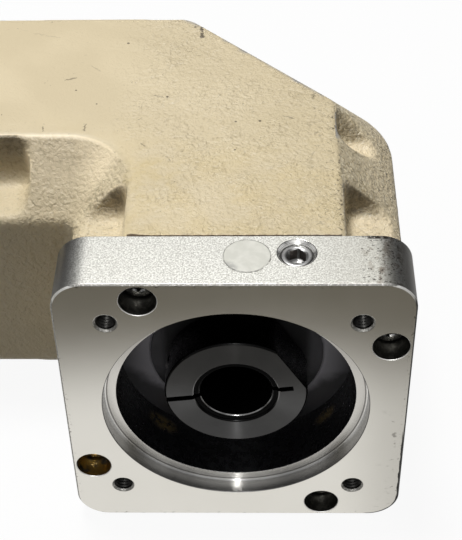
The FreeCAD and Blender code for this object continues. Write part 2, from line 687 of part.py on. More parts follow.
def pinion_shaft():
    """Hollow shaft: slotted sleeve, bearing seats, shoulder and pinion in one piece."""
    front = COLLAR_FRONT + SLEEVE_SUNK
    step = COLLAR_FRONT + COLLAR_WIDTH + SLEEVE_STEP_GAP
    bore = MOTOR_SHAFT_D / 2
    seat = INPUT_BORE_D / 2
    drill_tip = MOTOR_SHAFT_REACH + bore / math.tan(math.radians(59))
    sleeve = SLEEVE_D / 2
    shoulder = SHAFT_SHOULDER_D / 2
    points = [(front, bore + SLEEVE_EDGE), (front, sleeve), (step, sleeve), (step, seat - SHAFT_EDGE)]
    points += [(step + SHAFT_EDGE, seat), (INPUT_BEARINGS_END, seat), (INPUT_BEARINGS_END, shoulder)]
    points += [(SHOULDER_END, shoulder), (SHOULDER_END, 0), (drill_tip, 0)]
    points += [(MOTOR_SHAFT_REACH, bore), (front + SLEEVE_EDGE, bore)]
    slots = [slot_cutter(-SLEEVE_D, 0, front, step), slot_cutter(0, SLEEVE_D, front, step)]
    shaft = turned(points, INPUT_LINE).cut([with_collar(slot) for slot in slots])
    return shaft.fuse(pinion_head()).removeSplitter()


def bevel_gear():
    """Bevel wheel with a keyed hub."""
    heel_tip = tooth_point(GEAR_CONE, 2 * MODULE)
    rim = tooth_point(GEAR_CONE, -ROOT_SHARE * MODULE - RIM_DEPTH)
    toe_tip = (TOE_SHARE * heel_tip[0], TOE_SHARE * heel_tip[1])
    front_r = toe_tip[1] - (GEAR_FRONT - toe_tip[0]) / math.tan(GEAR_CONE)
    hub = GEAR_HUB_D / 2
    bore = GEAR_SEAT_D / 2 + SEAT_GAP
    hub_step = GEAR_BACK - GEAR_HUB_STEP
    blank = [heel_tip, rim, (hub_step, rim[1] - RIM_DEPTH), (hub_step, hub), (GEAR_BACK, hub)]
    blank += [(GEAR_BACK, bore), (GEAR_FRONT, bore), (GEAR_FRONT, front_r), toe_tip]
    first_tooth = -math.pi / 2 + math.pi / GEAR_TEETH
    wheel = toothed(blank, GEAR_TEETH, GEAR_CONE, first_tooth, OUTPUT_LINE)
    roof = GEAR_SEAT_D / 2 - KEY_SUNK + KEY_HEIGHT + KEY_ROOF_GAP
    length = GEAR_BACK - GEAR_FRONT
    keyway = Part.makeBox(length, KEY_WIDTH, roof, vec(-GEAR_BACK, OUT_Y - KEY_WIDTH / 2, 0))
    return wheel.cut(keyway)


def key_block():
    middle = (GEAR_FRONT + GEAR_BACK) / 2
    floor = GEAR_SEAT_D / 2 - KEY_SUNK
    corner = vec(-middle - KEY_LEN / 2, OUT_Y - KEY_WIDTH / 2, floor)
    return Part.makeBox(KEY_LEN, KEY_WIDTH, KEY_HEIGHT, corner)


def output_shaft():
    """Stepped shaft: nut thread, gear seat, bearing seat, seal journal and plain output end."""
    thread = GEAR_THREAD_D / 2
    seat = GEAR_SEAT_D / 2
    bearing = OUTPUT_BORE_D / 2
    journal = SEAL_JOURNAL_D / 2
    end = OUTPUT_SHAFT_D / 2
    points = [(GEAR_NUT_AT, 0), (GEAR_NUT_AT, thread), (GEAR_FRONT + SHAFT_STEP_GAP, thread)]
    points += [(GEAR_FRONT + SHAFT_STEP_GAP, seat), (GEAR_BACK + SHAFT_STEP_GAP, seat)]
    points += [(GEAR_BACK + SHAFT_STEP_GAP, bearing), (OUTER_BEARING_END, bearing)]
    points += [(OUTER_BEARING_END, journal), (PILOT_FACE - SHAFT_EDGE, journal)]
    points += [(PILOT_FACE, journal - SHAFT_EDGE), (PILOT_FACE, end), (SHAFT_END - SHAFT_EDGE, end)]
    points += [(SHAFT_END, end - SHAFT_EDGE), (SHAFT_END, 0)]
    inward = vec(1, 0, 0)
    mouth = vec(-SHAFT_END, OUT_Y, 0)
    hole = rod(mouth, inward, CENTRE_HOLE_DEPTH, CENTRE_HOLE_D)
    sink = countersink(mouth, inward, CENTRE_HOLE_D + 2 * SHAFT_EDGE, CENTRE_HOLE_D)
    return turned(points, OUTPUT_LINE).cut([key_block(), hole, sink])


def slotted_nut(start, end, bore, outer, line):
    """Round nut with four spanner slots."""
    nut = broken_ring(start, end, bore / 2 + SEAT_GAP, outer / 2, SLEEVE_EDGE, line)
    slots = []
    for angle in quarter_turns(0):
        slot = Part.makeBox(NUT_SLOT_DEPTH + CUT_PAST, NUT_SLOT_WIDTH, end - start,
                            vec(outer / 2 - NUT_SLOT_DEPTH, -NUT_SLOT_WIDTH / 2, start))
        slot.rotate(ORIGIN, UP, angle)
        slot.Placement = line.multiply(slot.Placement)
        slots.append(slot)
    return nut.cut(slots)


def shaft_seal(front, towards, shaft, outside, width, line):
    """Rubber lip seal; its closed side faces out of the gearbox."""
    outer = outside / 2
    lip = shaft / 2 + RUNNING_GAP
    section = [(0, outer), (width, outer), (width, outer - SEAL_CASE), (SEAL_WALL, outer - SEAL_CASE)]
    section += [(SEAL_WALL, lip + SEAL_LIP_HEIGHT), (width - SEAL_LIP_BACK, lip + SEAL_LIP_HEIGHT)]
    section += [(width - SEAL_LIP_BACK, lip + SEAL_LIP_ROOM), (width - SEAL_EDGE_BACK, lip)]
    section += [(SEAL_WALL, lip + SEAL_LIP_ROOM), (0, lip + SEAL_LIP_ROOM)]
    return turned([(front + towards * along, radius) for along, radius in section], line)


def input_circlip():
    """Spring ring in the groove before the front bearing cup."""
    start = INPUT_BEARINGS_AT - CIRCLIP_THICK
    outer = INPUT_OUTSIDE_D / 2 + CIRCLIP_DEPTH - SEAT_GAP
    clip = ring(start, INPUT_BEARINGS_AT, INPUT_OUTSIDE_D / 2 - CIRCLIP_IN, outer, INPUT_LINE)
    reach = outer + CUT_PAST
    opening = Part.makeCylinder(reach, CIRCLIP_THICK, vec(0, start, 0), vec(0, 1, 0), CIRCLIP_OPENING)
    return clip.cut(opening)


def taper_bearing(sizes, back, towards, line):
    """Cup, cone, rollers and cage of a taper roller bearing.

    The back is the station of the cone's thick end, and the rollers taper towards the cup's back.
    All the tapers meet in one point on the shaft line, so that the rollers roll without slip.
    """
    bore, outside, width, cup_width, roller_d, roller_len, count = sizes
    tilt = math.radians(ROLLER_TILT)
    middle_r = (bore + outside) / 4
    apex = width / 2 + middle_r / math.tan(tilt)
    reach = middle_r / math.sin(tilt)
    taper = math.atan(roller_d / 2 / reach)

    def station(along):
        return back + towards * along

    def inner_race(along):
        return (apex - along) * math.tan(tilt - taper) - RACE_GAP

    def outer_race(along):
        return (apex - along) * math.tan(tilt + taper) + RACE_GAP

    def beside_roller(forward, lift):
        """Point beside the roller's axis: forward towards its thick end, lift away from the shaft."""
        along = width / 2 - forward * math.cos(tilt) + lift * math.sin(tilt)
        return (station(along), middle_r + forward * math.sin(tilt) + lift * math.cos(tilt))

    def roller(extra_r, extra_len):
        half = roller_len / 2 + extra_len
        direction = vec(math.sin(tilt), 0, -towards * math.cos(tilt))
        thin = (reach - half) * math.tan(taper) + extra_r
        thick = (reach + half) * math.tan(taper) + extra_r
        start = vec(middle_r, 0, station(width / 2)) - direction * half
        return Part.makeCone(thin, thick, 2 * half, start, direction)

    def repeated(shape):
        copies = []
        for step in range(count):
            copy = shape.copy()
            copy.rotate(ORIGIN, UP, 360 / count * step)
            copy.Placement = line.multiply(copy.Placement)
            copies.append(copy)
        return copies

    rib = CONE_RIB_SHARE * roller_d
    slant = (roller_d / 2) * math.sin(tilt)
    thick_end = width / 2 - roller_len / 2 * math.cos(tilt) - slant - ROLLER_END_GAP
    thin_end = width / 2 + roller_len / 2 * math.cos(tilt) + ROLLER_END_GAP
    seat = bore / 2 + SEAT_GAP
    thick_r = inner_race(thick_end)
    thin_r = inner_race(thin_end)
    cone = [(0, seat), (0, thick_r + rib), (thick_end, thick_r + rib), (thick_end, thick_r)]
    cone += [(thin_end, thin_r), (thin_end, thin_r + rib / 2), (width, thin_r + rib / 2), (width, seat)]
    cup_at = width - cup_width
    cup = [(cup_at, outside / 2), (width, outside / 2)]
    cup += [(width, outer_race(width)), (cup_at, outer_race(cup_at))]
    reach_end = roller_len / 2 + CAGE_RING
    low = CAGE_LIFT - CAGE_THICK / 2
    high = CAGE_LIFT + CAGE_THICK / 2
    band = [beside_roller(-reach_end, low), beside_roller(reach_end, low)]
    band += [beside_roller(reach_end, high), beside_roller(-reach_end, high)]
    return {
        "cone": turned([(station(along), radius) for along, radius in cone], line),
        "cup": turned([(station(along), radius) for along, radius in cup], line),
        "rollers": Part.Compound(repeated(roller(0.0, 0.0))),
        "cage": turned(band, line).cut(repeated(roller(CAGE_GAP, CAGE_GAP))),
    }


def bearing_nodes():
    """The four bearings: each pair has its cones' thick ends turned to each other."""
    input_sizes = (INPUT_BORE_D, INPUT_OUTSIDE_D, INPUT_BEARING_WIDTH, INPUT_CUP_WIDTH,
                   INPUT_ROLLER_D, INPUT_ROLLER_LEN, INPUT_ROLLER_COUNT)
    output_sizes = (OUTPUT_BORE_D, OUTPUT_OUTSIDE_D, OUTPUT_BEARING_WIDTH, OUTPUT_CUP_WIDTH,
                    OUTPUT_ROLLER_D, OUTPUT_ROLLER_LEN, OUTPUT_ROLLER_COUNT)
    bearings = {
        "input_front": taper_bearing(input_sizes, INPUT_BEARINGS_MID, -1, INPUT_LINE),
        "input_rear": taper_bearing(input_sizes, INPUT_BEARINGS_MID, 1, INPUT_LINE),
        "output_inner": taper_bearing(output_sizes, INNER_BEARING_END, -1, OUTPUT_LINE),
        "output_outer": taper_bearing(output_sizes, OUTER_BEARING_AT, 1, OUTPUT_LINE),
    }
    found = {}
    for name, pieces in bearings.items():
        for piece, shape in pieces.items():
            found[name + "_" + piece] = shape
    return found


def output_cover():
    """Square end cover: bearing spigot, seal pocket, output pilot and flange holes."""
    cover = square_plate(COVER_WIDTH, PLATE_CORNER_R, lambda point: vec(-CAST_END, OUT_Y + point.x, point.y),
                         vec(-COVER_THICK, 0, 0))
    rims = [edge for face in cover.Faces for edge in face.Edges if abs(face.normalAt(0, 0).x) > 0.5]
    cover = cover.makeChamfer(PLATE_EDGE, rims)
    outer = OUTPUT_OUTSIDE_D / 2
    pilot = OUTPUT_PILOT_D / 2
    spigot = ring(COVER_SPIGOT_AT, CAST_END, 0, outer, OUTPUT_LINE)
    nose = turned([(COVER_FACE, 0), (COVER_FACE, pilot), (PILOT_FACE - PLATE_EDGE, pilot),
                   (PILOT_FACE, pilot - PLATE_EDGE), (PILOT_FACE, 0)], OUTPUT_LINE)
    cover = cover.fuse([spigot, nose])
    lip = SEAL_JOURNAL_D / 2 + COVER_LIP_GAP
    cuts = [
        ring(COVER_SPIGOT_AT, CAST_END + COVER_SPIGOT_DEEP, 0, COVER_SPIGOT_ID / 2, OUTPUT_LINE),
        ring(COVER_SPIGOT_AT, PILOT_FACE, 0, lip, OUTPUT_LINE),
        ring(COVER_LIP_AT, PILOT_FACE, 0, OUTPUT_SEAL_D / 2, OUTPUT_LINE),
    ]
    inward = vec(1, 0, 0)
    for angle in quarter_turns(45):
        start = around_output(OUTPUT_BOLT_CIRCLE_D, angle, COVER_FACE)
        cuts.append(rod(start, inward, COVER_THICK, OUTPUT_BOLT_HOLE_D))
    head_room = head_diameter(COVER_SCREW) + 2 * COUNTERBORE_GAP
    for angle in quarter_turns(0):
        start = around_output(COVER_SCREW_CIRCLE_D, angle, PILOT_FACE)
        cuts.append(rod(start, inward, PILOT_FACE - COVER_SCREW_SEAT, head_room))
        cuts.append(rod(start, inward, PILOT_FACE - CAST_END, COVER_SCREW + 2 * SHANK_GAP))
    return cover.cut(cuts)


def output_cover_screws():
    seats = [around_output(COVER_SCREW_CIRCLE_D, angle, COVER_SCREW_SEAT) for angle in quarter_turns(0)]
    return Part.Compound([cap_screw(COVER_SCREW, COVER_SCREW_LEN, seat, vec(1, 0, 0)) for seat in seats])


def output_cover_o_ring():
    """Ring of rubber squeezed between the cover, its spigot and the casting."""
    inner = OUTPUT_OUTSIDE_D / 2
    return broken_ring(COVER_SPIGOT_AT, CAST_END, inner, inner + O_RING_WIDTH, O_RING_ROUND, OUTPUT_LINE)


def nodes():
    """Every separate piece by its name."""
    shapes = {
        "gear_housing": gear_housing(),
        "motor_adapter_plate": motor_adapter_plate(),
        "adapter_screws": adapter_screws(),
        "access_plug": access_plug(),
        "marker_sticker": marker_sticker(),
        "clamp_collar": clamp_collar(),
        "clamp_screw": clamp_screw(),
        "pinion_shaft": pinion_shaft(),
        "input_seal": shaft_seal(INPUT_SEAL_AT, 1, INPUT_BORE_D, INPUT_OUTSIDE_D,
                                 INPUT_SEAL_WIDTH, INPUT_LINE),
        "input_lock_nut": slotted_nut(INPUT_NUT_AT, INPUT_BEARINGS_AT, INPUT_BORE_D,
                                      INPUT_NUT_D, INPUT_LINE),
        "input_circlip": input_circlip(),
        "bevel_gear": bevel_gear(),
        "gear_key": key_block(),
        "gear_lock_nut": slotted_nut(GEAR_NUT_AT, GEAR_FRONT, GEAR_THREAD_D, GEAR_NUT_D, OUTPUT_LINE),
        "output_shaft": output_shaft(),
        "bearing_spacer": ring(INNER_BEARING_END, OUTER_BEARING_AT, OUTPUT_BORE_D / 2 + SEAT_GAP,
                               BEARING_SPACER_D / 2, OUTPUT_LINE),
        "output_shim": ring(OUTER_BEARING_END, COVER_SPIGOT_AT, COVER_SPIGOT_ID / 2,
                            OUTPUT_OUTSIDE_D / 2, OUTPUT_LINE),
        "output_cover": output_cover(),
        "output_cover_screws": output_cover_screws(),
        "output_cover_o_ring": output_cover_o_ring(),
        "output_seal": shaft_seal(OUTPUT_SEAL_AT, -1, SEAL_JOURNAL_D, OUTPUT_SEAL_D,
                                  OUTPUT_SEAL_WIDTH, OUTPUT_LINE),
        "oil_plug": oil_plug(),
        "oil_plug_washer": oil_plug_washer(),
    }
    shapes.update(bearing_nodes())
    return shapes


os.makedirs("parts", exist_ok=True)
for name, shape in nodes().items():
    shape.exportStep("parts/" + name + ".step")
    print(name, len(shape.Solids), round(shape.Volume), shape.isValid())
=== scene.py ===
import math
import bmesh
import bpy
import numpy
from mathutils import Matrix, Vector


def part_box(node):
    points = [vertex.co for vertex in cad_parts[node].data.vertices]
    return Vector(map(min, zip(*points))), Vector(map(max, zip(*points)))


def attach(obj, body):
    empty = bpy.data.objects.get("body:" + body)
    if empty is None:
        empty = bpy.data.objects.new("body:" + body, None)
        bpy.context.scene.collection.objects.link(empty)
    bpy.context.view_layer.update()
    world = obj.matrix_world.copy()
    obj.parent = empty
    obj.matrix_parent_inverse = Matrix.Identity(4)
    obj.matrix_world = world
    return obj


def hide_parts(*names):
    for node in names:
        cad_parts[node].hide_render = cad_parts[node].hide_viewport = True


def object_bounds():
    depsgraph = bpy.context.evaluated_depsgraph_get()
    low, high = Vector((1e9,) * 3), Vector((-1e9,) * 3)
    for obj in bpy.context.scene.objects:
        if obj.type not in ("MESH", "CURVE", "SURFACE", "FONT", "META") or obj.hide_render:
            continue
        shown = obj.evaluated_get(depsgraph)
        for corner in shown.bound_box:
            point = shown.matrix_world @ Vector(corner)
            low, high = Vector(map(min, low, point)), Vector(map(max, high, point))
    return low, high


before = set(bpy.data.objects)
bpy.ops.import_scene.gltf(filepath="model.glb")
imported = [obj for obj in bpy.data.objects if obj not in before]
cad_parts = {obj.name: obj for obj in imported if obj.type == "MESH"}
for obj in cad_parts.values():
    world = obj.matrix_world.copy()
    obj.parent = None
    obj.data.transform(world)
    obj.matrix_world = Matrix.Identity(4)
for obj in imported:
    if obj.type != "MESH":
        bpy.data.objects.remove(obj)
cad_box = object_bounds()


# Gear housing
# An elbow cast in aluminium, its edges rounded by the mould, then sprayed with thick cream paint.
# The adapter plate is screwed to its front end and the output cover to its left end.

class Wire:
    """A shader socket that plain sums can be written with; each sum adds its Math node."""

    def __init__(self, tree, socket=None):
        self.tree = tree
        self.socket = socket

    def node(self, kind, settings, sockets, output=0):
        """Adds a node with its settings, then its sockets' values or links; gives one output."""
        made = self.tree.nodes.new("ShaderNode" + kind)
        for name, value in settings.items():
            setattr(made, name, value)
        for name, value in sockets.items():
            if isinstance(value, Wire):
                self.tree.links.new(value.socket, made.inputs[name])
            else:
                made.inputs[name].default_value = value
        return Wire(self.tree, made.outputs[output] if made.outputs else None)

    def sum(self, operation, *values):
        """Adds a Math node."""
        return self.node("Math", {"operation": operation}, dict(enumerate(values)))

    def vector(self, operation, *values, output="Vector"):
        """Adds a Vector Math node."""
        return self.node("VectorMath", {"operation": operation}, dict(enumerate(values)), output)

    def __add__(self, other):
        return self.sum("ADD", self, other)

    def __sub__(self, other):
        return self.sum("SUBTRACT", self, other)

    def __rsub__(self, other):
        return self.sum("SUBTRACT", other, self)

    def __mul__(self, other):
        return self.sum("MULTIPLY", self, other)

    def __abs__(self):
        return self.sum("ABSOLUTE", self)

    __radd__ = __add__
    __rmul__ = __mul__

    def clamp(self):
        """This value, held between 0 and 1."""
        return self.node("Clamp", {}, {"Value": self})

    def most(self, other):
        """The greater of two values."""
        return self.sum("MAXIMUM", self, other)

    def rise(self, low, high):
        """0 up to the low value, 1 from the high one on, smooth between; low may be the greater."""
        return self.node("MapRange", {"interpolation_type": "SMOOTHSTEP"},
                         {"Value": self, "From Min": low, "From Max": high})

    def blend(self, under, over):
        """Colour that goes from under to over as this value goes from 0 to 1."""
        under, over = (tone if isinstance(tone, Wire) else (*tone, 1.0) for tone in (under, over))
        return self.node("Mix", {"data_type": "RGBA"}, {0: self, 6: under, 7: over}, 2)

    def scaled(self, scale):
        """This place with each of its axes scaled, to draw out or squeeze a pattern."""
        return self.node("Mapping", {}, {"Vector": self, "Scale": scale})

    def noise(self, size, detail=2.0, twist=0.0):
        """Cloudy pattern with features of about that size in mm, on this place."""
        pattern = {"Vector": self, "Scale": 1 / size, "Detail": detail, "Distortion": twist}
        return self.node("TexNoise", {}, pattern)

    def specks(self, cell, radius, share):
        """Small spots of several sizes in a share of the cells, each cell that wide in mm."""
        flat = {"voronoi_dimensions": "2D"}
        cells = {"Vector": self, "Scale": 1 / cell}
        distance = self.node("TexVoronoi", flat, cells, "Distance")
        colour = self.node("TexVoronoi", flat, cells, "Color")
        size = self.node("SeparateColor", {}, {0: colour}).rise(1 - share, 1.0) * (radius / cell)
        return (size - distance).rise(0.0, 0.35 * radius / cell)

    def spot(self, centre, radius):
        """1 near a place in mm, 0 from that radius on."""
        return self.vector("DISTANCE", self, centre, output="Value").rise(radius, 0.35 * radius)

    def line(self, start, end, width):
        """1 along a wavering scratch between two places on the top, 0 away from it."""
        waver = 0.8
        shake = self.node("TexNoise", {}, {"Vector": self, "Scale": 0.8}, "Color")
        shaken = self.vector("MULTIPLY_ADD", shake, (2 * waver, 2 * waver, 0.0), self)
        flat = self.vector("MULTIPLY", shaken, (1.0, 1.0, 0.0))
        away = self.vector("SUBTRACT", flat, (start[0] + waver, start[1] + waver, 0.0))
        run = Vector(end) - Vector(start)
        share = self.vector("DOT_PRODUCT", away, (*(run / run.length_squared), 0.0), output="Value")
        reached = {0: (*run, 0.0), "Scale": share.clamp()}
        along = self.node("VectorMath", {"operation": "SCALE"}, reached)
        gap = self.vector("SUBTRACT", away, along)
        return self.vector("LENGTH", gap, output="Value").rise(width, 0.3 * width)


def new_finish(name, constants, turned=False):
    """A finish with these plain values, and the place in mm as a wire.

    It is turned for a piece whose own Z is the input shaft's line.
    """
    finish = bpy.data.materials.new(name)
    finish.use_nodes = True
    for socket, value in constants.items():
        finish.node_tree.nodes["Principled BSDF"].inputs[socket].default_value = value
    place = Wire(finish.node_tree).node("TexCoord", {}, {}, "Object")
    place = place.node("VectorMath", {"operation": "SCALE"}, {0: place, "Scale": 1000.0})
    if turned:
        back = {"Vector": place, "Angle": -math.pi / 2}
        place = place.node("VectorRotate", {"rotation_type": "X_AXIS"}, back)
    return finish, place


def feed(finish, socket, wire):
    """Links a wire to a socket of the finish's shader."""
    shader = finish.node_tree.nodes["Principled BSDF"]
    finish.node_tree.links.new(wire.socket, shader.inputs[socket])


def emboss(finish, height, strength, depth):
    """Gives a finish a relief of that depth in metres."""
    relief = {"Height": height, "Strength": strength, "Distance": depth}
    feed(finish, "Normal", height.node("Bump", {}, relief))


def layered(tone, *layers):
    """A colour with others over it, from the bottom up, each with the share that shows."""
    for share, over in layers:
        tone = share.blend(tone, over)
    return tone


def split(place):
    """The place's x, y and z as three wires."""
    parts = place.node("SeparateXYZ", {}, {0: place}).socket.node.outputs
    return [Wire(place.tree, part) for part in parts]


def bore_reach(place):
    """Distance from the input shaft's line, in mm."""
    x, _, z = split(place)
    return x.sum("SQRT", x * x + z * z)


def apply_modifiers(piece):
    """Puts what the modifiers make into the piece's own mesh."""
    shaped = piece.evaluated_get(bpy.context.evaluated_depsgraph_get())
    piece.data = bpy.data.meshes.new_from_object(shaped)
    piece.modifiers.clear()


def mesh_net(mesh):
    """The mesh's points, the two ends of its edges, and how many edges meet at each point."""
    places = numpy.empty(len(mesh.vertices) * 3)
    mesh.vertices.foreach_get("co", places)
    ends = numpy.empty(len(mesh.edges) * 2, dtype=numpy.int64)
    mesh.edges.foreach_get("vertices", ends)
    first, second = ends.reshape(-1, 2).T
    return places.reshape(-1, 3), first, second, numpy.bincount(ends, minlength=len(mesh.vertices))


def add_near(values, first, second):
    """The sum of the values at each point's neighbours."""
    size = len(values)
    return numpy.bincount(first, values[second], size) + numpy.bincount(second, values[first], size)


def cast_skin(node, voxel, rounds):
    """The casting's mesh with its edges rounded, each place by its own number of rounds."""
    skin = bpy.data.objects.new("cast_elbow", node.data.copy())
    bpy.context.collection.objects.link(skin)
    skin.modifiers.new("close", "WELD").merge_threshold = 1e-6
    cells = skin.modifiers.new("cells", "REMESH")
    cells.mode = "VOXEL"
    cells.voxel_size = voxel
    apply_modifiers(skin)
    places, first, second, count = mesh_net(skin.data)
    wanted = rounds(places * 1000).reshape(-1, 1)
    for done in range(int(wanted.max())):
        middle = numpy.stack([add_near(axis, first, second) for axis in places.T], axis=1)
        step = middle / count.reshape(-1, 1) - places
        places = places + 0.5 * numpy.clip(wanted - done, 0, 1) * step
    skin.data.vertices.foreach_set("co", places.ravel())
    skin.data.update()
    skin.modifiers.new("fewer", "DECIMATE").ratio = 0.45
    apply_modifiers(skin)
    skin.data.shade_smooth()
    return skin


def mark_ridges(mesh):
    """Writes on each point how far it stands out of its neighbours, in mm, below 0 in hollows."""
    places, first, second, count = mesh_net(mesh)
    places = places * 1000
    normals = numpy.empty(len(places) * 3)
    mesh.vertices.foreach_get("normal", normals)
    normals = normals.reshape(-1, 3)
    step = places[first] - places[second]
    ahead = numpy.einsum("ij,ij->i", step, normals[first])
    back = numpy.einsum("ij,ij->i", -step, normals[second])
    stand = numpy.bincount(first, ahead, len(places)) + numpy.bincount(second, back, len(places))
    stand = stand / count
    for _ in range(2):
        stand = 0.5 * stand + 0.5 * add_near(stand, first, second) / count
    ridge = mesh.attributes.new("ridge", "FLOAT", "POINT")
    ridge.data.foreach_set("value", stand.astype(numpy.float32))


output_line = 88.998
arm_end = -77.997
plate_thick = 18.0


def cast_rounds(places):
    """Few rounds on the cast walls, more at the pocket mouths, none on machined ends and bores."""
    x, y, z = places.T
    few, many = 3.0, 9.0
    neck_bore, arm_bore = 25.5, 35.0
    rounds = numpy.full(len(places), few)
    mouths = (x < -50) & (numpy.abs(y - output_line) > 23) | (y < 48) & (numpy.abs(x) > 24)
    mouths |= (x > 24) & (y > 50) & (y < 86) | (y > 112) & (x > -38) & (x < -4)
    rounds[mouths & (numpy.abs(z) < 42.6)] = many
    from_ends = numpy.minimum(y - plate_thick, x - arm_end)
    rounds *= numpy.clip((from_ends - 0.4) / 1.6, 0, 1)
    rounds[(numpy.hypot(x, z) < neck_bore) & (y < 89)] = 0
    rounds[(numpy.hypot(y - output_line, z) < arm_bore) & (x < 20)] = 0
    return rounds


cast_elbow = cast_skin(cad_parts["gear_housing"], 0.0007, cast_rounds)
mark_ridges(cast_elbow.data)
cast_paint, place = new_finish("cream_texture_paint", {"Specular IOR Level": 0.5})
x, y, z = split(place)
side = abs(x)
_, facing, rising = split(place.node("NewGeometry", {}, {}, "Normal"))
ridge = place.node("Attribute", {"attribute_name": "ridge"}, {}, "Fac")

# Each of these is 1 on its own part of the casting and 0 elsewhere.
top = z.rise(43.4, 44.3)
smooth_flat = x.rise(-16.0, -42.0) * top
seat = bore_reach(place).rise(36.0, 35.5) * y.rise(34.0, 31.0)
arm_bevel = facing.rise(-0.30, -0.50) * facing.rise(-0.90, -0.80) * x.rise(-20.0, -30.0)
bevel = arm_bevel * z.rise(31.0, 41.0)
front_wall = facing.rise(-0.85, -0.97) * z.rise(31.0, 27.0)
pocket_floor = rising.rise(0.6, 0.9) * z.rise(38.0, 36.0)
# Painted shade on the pocket walls that face the front, darkest near their tops.
shaded_pocket_wall = y.rise(45.0, 47.0) + side.rise(20.0, 24.0) * y.rise(36.0, 39.0) * y.rise(45.0, 44.0)
shaded_pocket_wall = shaded_pocket_wall * facing.rise(-0.5, -0.9) * z.rise(27.5, 30.0)
shaded_pocket_wall = shaded_pocket_wall * (0.35 + 0.65 * z.rise(31.0, 41.0))
# Painted shade, darker still, on the deep end walls of the neck's pockets.
shaded_deep_end = facing.rise(-0.35, -0.8) * side.rise(38.0, 32.0) * side.rise(28.0, 30.5)
shaded_deep_end = shaded_deep_end * y.rise(39.0, 41.0) * y.rise(45.0, 44.0) * z.rise(30.0, 33.0) * (1 - top)
slope = x.rise(16.0, 24.0) * (1 - top) * (1 - pocket_floor) * (0.4 + 0.6 * z.rise(18.0, 32.0))

# The thick paint dries with a grain, which is fainter on the top of the arm.
pebbles = place.noise(1.05, 2.0, 0.4)
ripples = place.noise(2.4, 2.0, 0.8)
grain = pebbles * 0.6 + ripples * 0.4
hollows = grain.rise(0.58, 0.36)
coarse = 0.55 + 0.45 * place.noise(12.0, 3.0).rise(0.38, 0.62)
relief = grain * coarse * (1 - smooth_flat * 0.8) * (1 - seat) * (1 - arm_bevel * 0.28)
emboss(cast_paint, relief, 1.0, 0.0013)
# Painted shade in the hollows of the grain, weaker on the top, the arm's bevel and the front walls.
grain_shade = grain.rise(0.47, 0.30) * coarse * (1 - smooth_flat)
grain_shade = grain_shade * (1 - 0.5 * top) * (1 - 0.6 * arm_bevel) * (1 - 0.8 * front_wall)
flecks = place.noise(0.7, 2.0, 0.5).rise(0.64, 0.72) * coarse * (1 - smooth_flat)

# Age has yellowed it and worn its crests pale, which also carry a painted highlight; it is darker
# in its hollows; two pocket corners carry painted shade; there is a stain.
ochre = y.rise(75.0, 35.0) * place.noise(11.0, 3.0).rise(0.35, 0.65) * top
# Pale crests: wear, with a painted highlight that is fainter between the arm and the neck.
crest_wear_and_highlight = ridge.rise(0.05, 0.16) * place.noise(1.6, 3.0).rise(0.35, 0.6)
crest_wear_and_highlight = crest_wear_and_highlight * (1 - 0.8 * x.rise(-50.0, -42.0) * x.rise(-22.0, -28.0))
# Darker in the casting's hollows.
hollow_darkening = ridge.rise(-0.03, -0.12) * place.noise(3.0, 3.0).rise(0.3, 0.6)
shaded = place.spot((-37.5, 43.2, 34.0), 6.0) + place.spot((36.8, 43.0, 34.2), 5.0)
shaded = shaded * place.noise(1.0, 3.0, 0.4).rise(0.60, 0.36)
stain = place.spot((-23.0, 41.0, 44.5), 13.0) * place.noise(4.0).rise(0.42, 0.7)

# Use has left rubs, smudges, scratches, and chips down to the metal.
rubs_and_highlights = place.noise(9.0, 3.0).rise(0.5, 0.66) * place.noise(0.9, 4.0, 1.2).rise(0.58, 0.72)
rubs_and_highlights = rubs_and_highlights * x.rise(-30.0, 24.0) * top
right_edge = x.rise(16.0, 22.0) * (ridge.rise(0.0, 0.05) + 0.6 * top)
worn_edge = right_edge * place.noise(1.0, 4.0, 0.6).rise(0.58, 0.66)
smudges = place.noise(1.3, 4.0, 1.0).rise(0.67, 0.73) * place.noise(17.0).rise(0.45, 0.62) * top
marks = place.specks(6.5, 0.5, 0.14) * top + smudges * 0.6 + rubs_and_highlights * 0.35 + worn_edge * 0.7
broken = place.noise(1.0, 3.0).rise(0.36, 0.52) * top
for start, end, width, depth in (
        ((-61.2, 110.0), (-53.2, 107.4), 0.35, 0.25), ((-43.6, 93.6), (-39.5, 90.0), 0.35, 0.3),
        ((-49.0, 85.9), (-46.5, 86.8), 0.5, 0.7), ((-53.2, 64.7), (-53.0, 61.7), 0.45, 0.8),
        ((-41.5, 64.6), (-41.8, 62.0), 0.4, 0.7), ((-23.0, 77.9), (-18.9, 76.8), 0.35, 0.4),
        ((-25.7, 56.0), (-24.7, 54.7), 0.4, 0.6), ((-18.4, 50.2), (-16.8, 47.7), 0.4, 0.5),
        ((-11.1, 113.6), (-10.9, 107.5), 0.9, 1.6), ((12.9, 68.1), (15.6, 67.2), 0.4, 0.6)):
    marks = marks + place.line(start, end, width) * broken * depth
chips = place.line((27.9, 70.0), (27.6, 59.0), 1.0)
chips = chips + place.line((24.0, 78.0), (-2.0, 105.0), 1.3) * 0.7
for centre, radius in (((-13.5, 116.0, 44.0), 4.5), ((1.6, 100.0, 44.0), 2.6),
                       ((-3.5, 106.0, 44.0), 2.0), ((17.0, 85.0, 44.0), 2.2)):
    chips = chips + place.spot(centre, radius)
chips = (chips * ridge.rise(0.0, 0.06)).clamp()
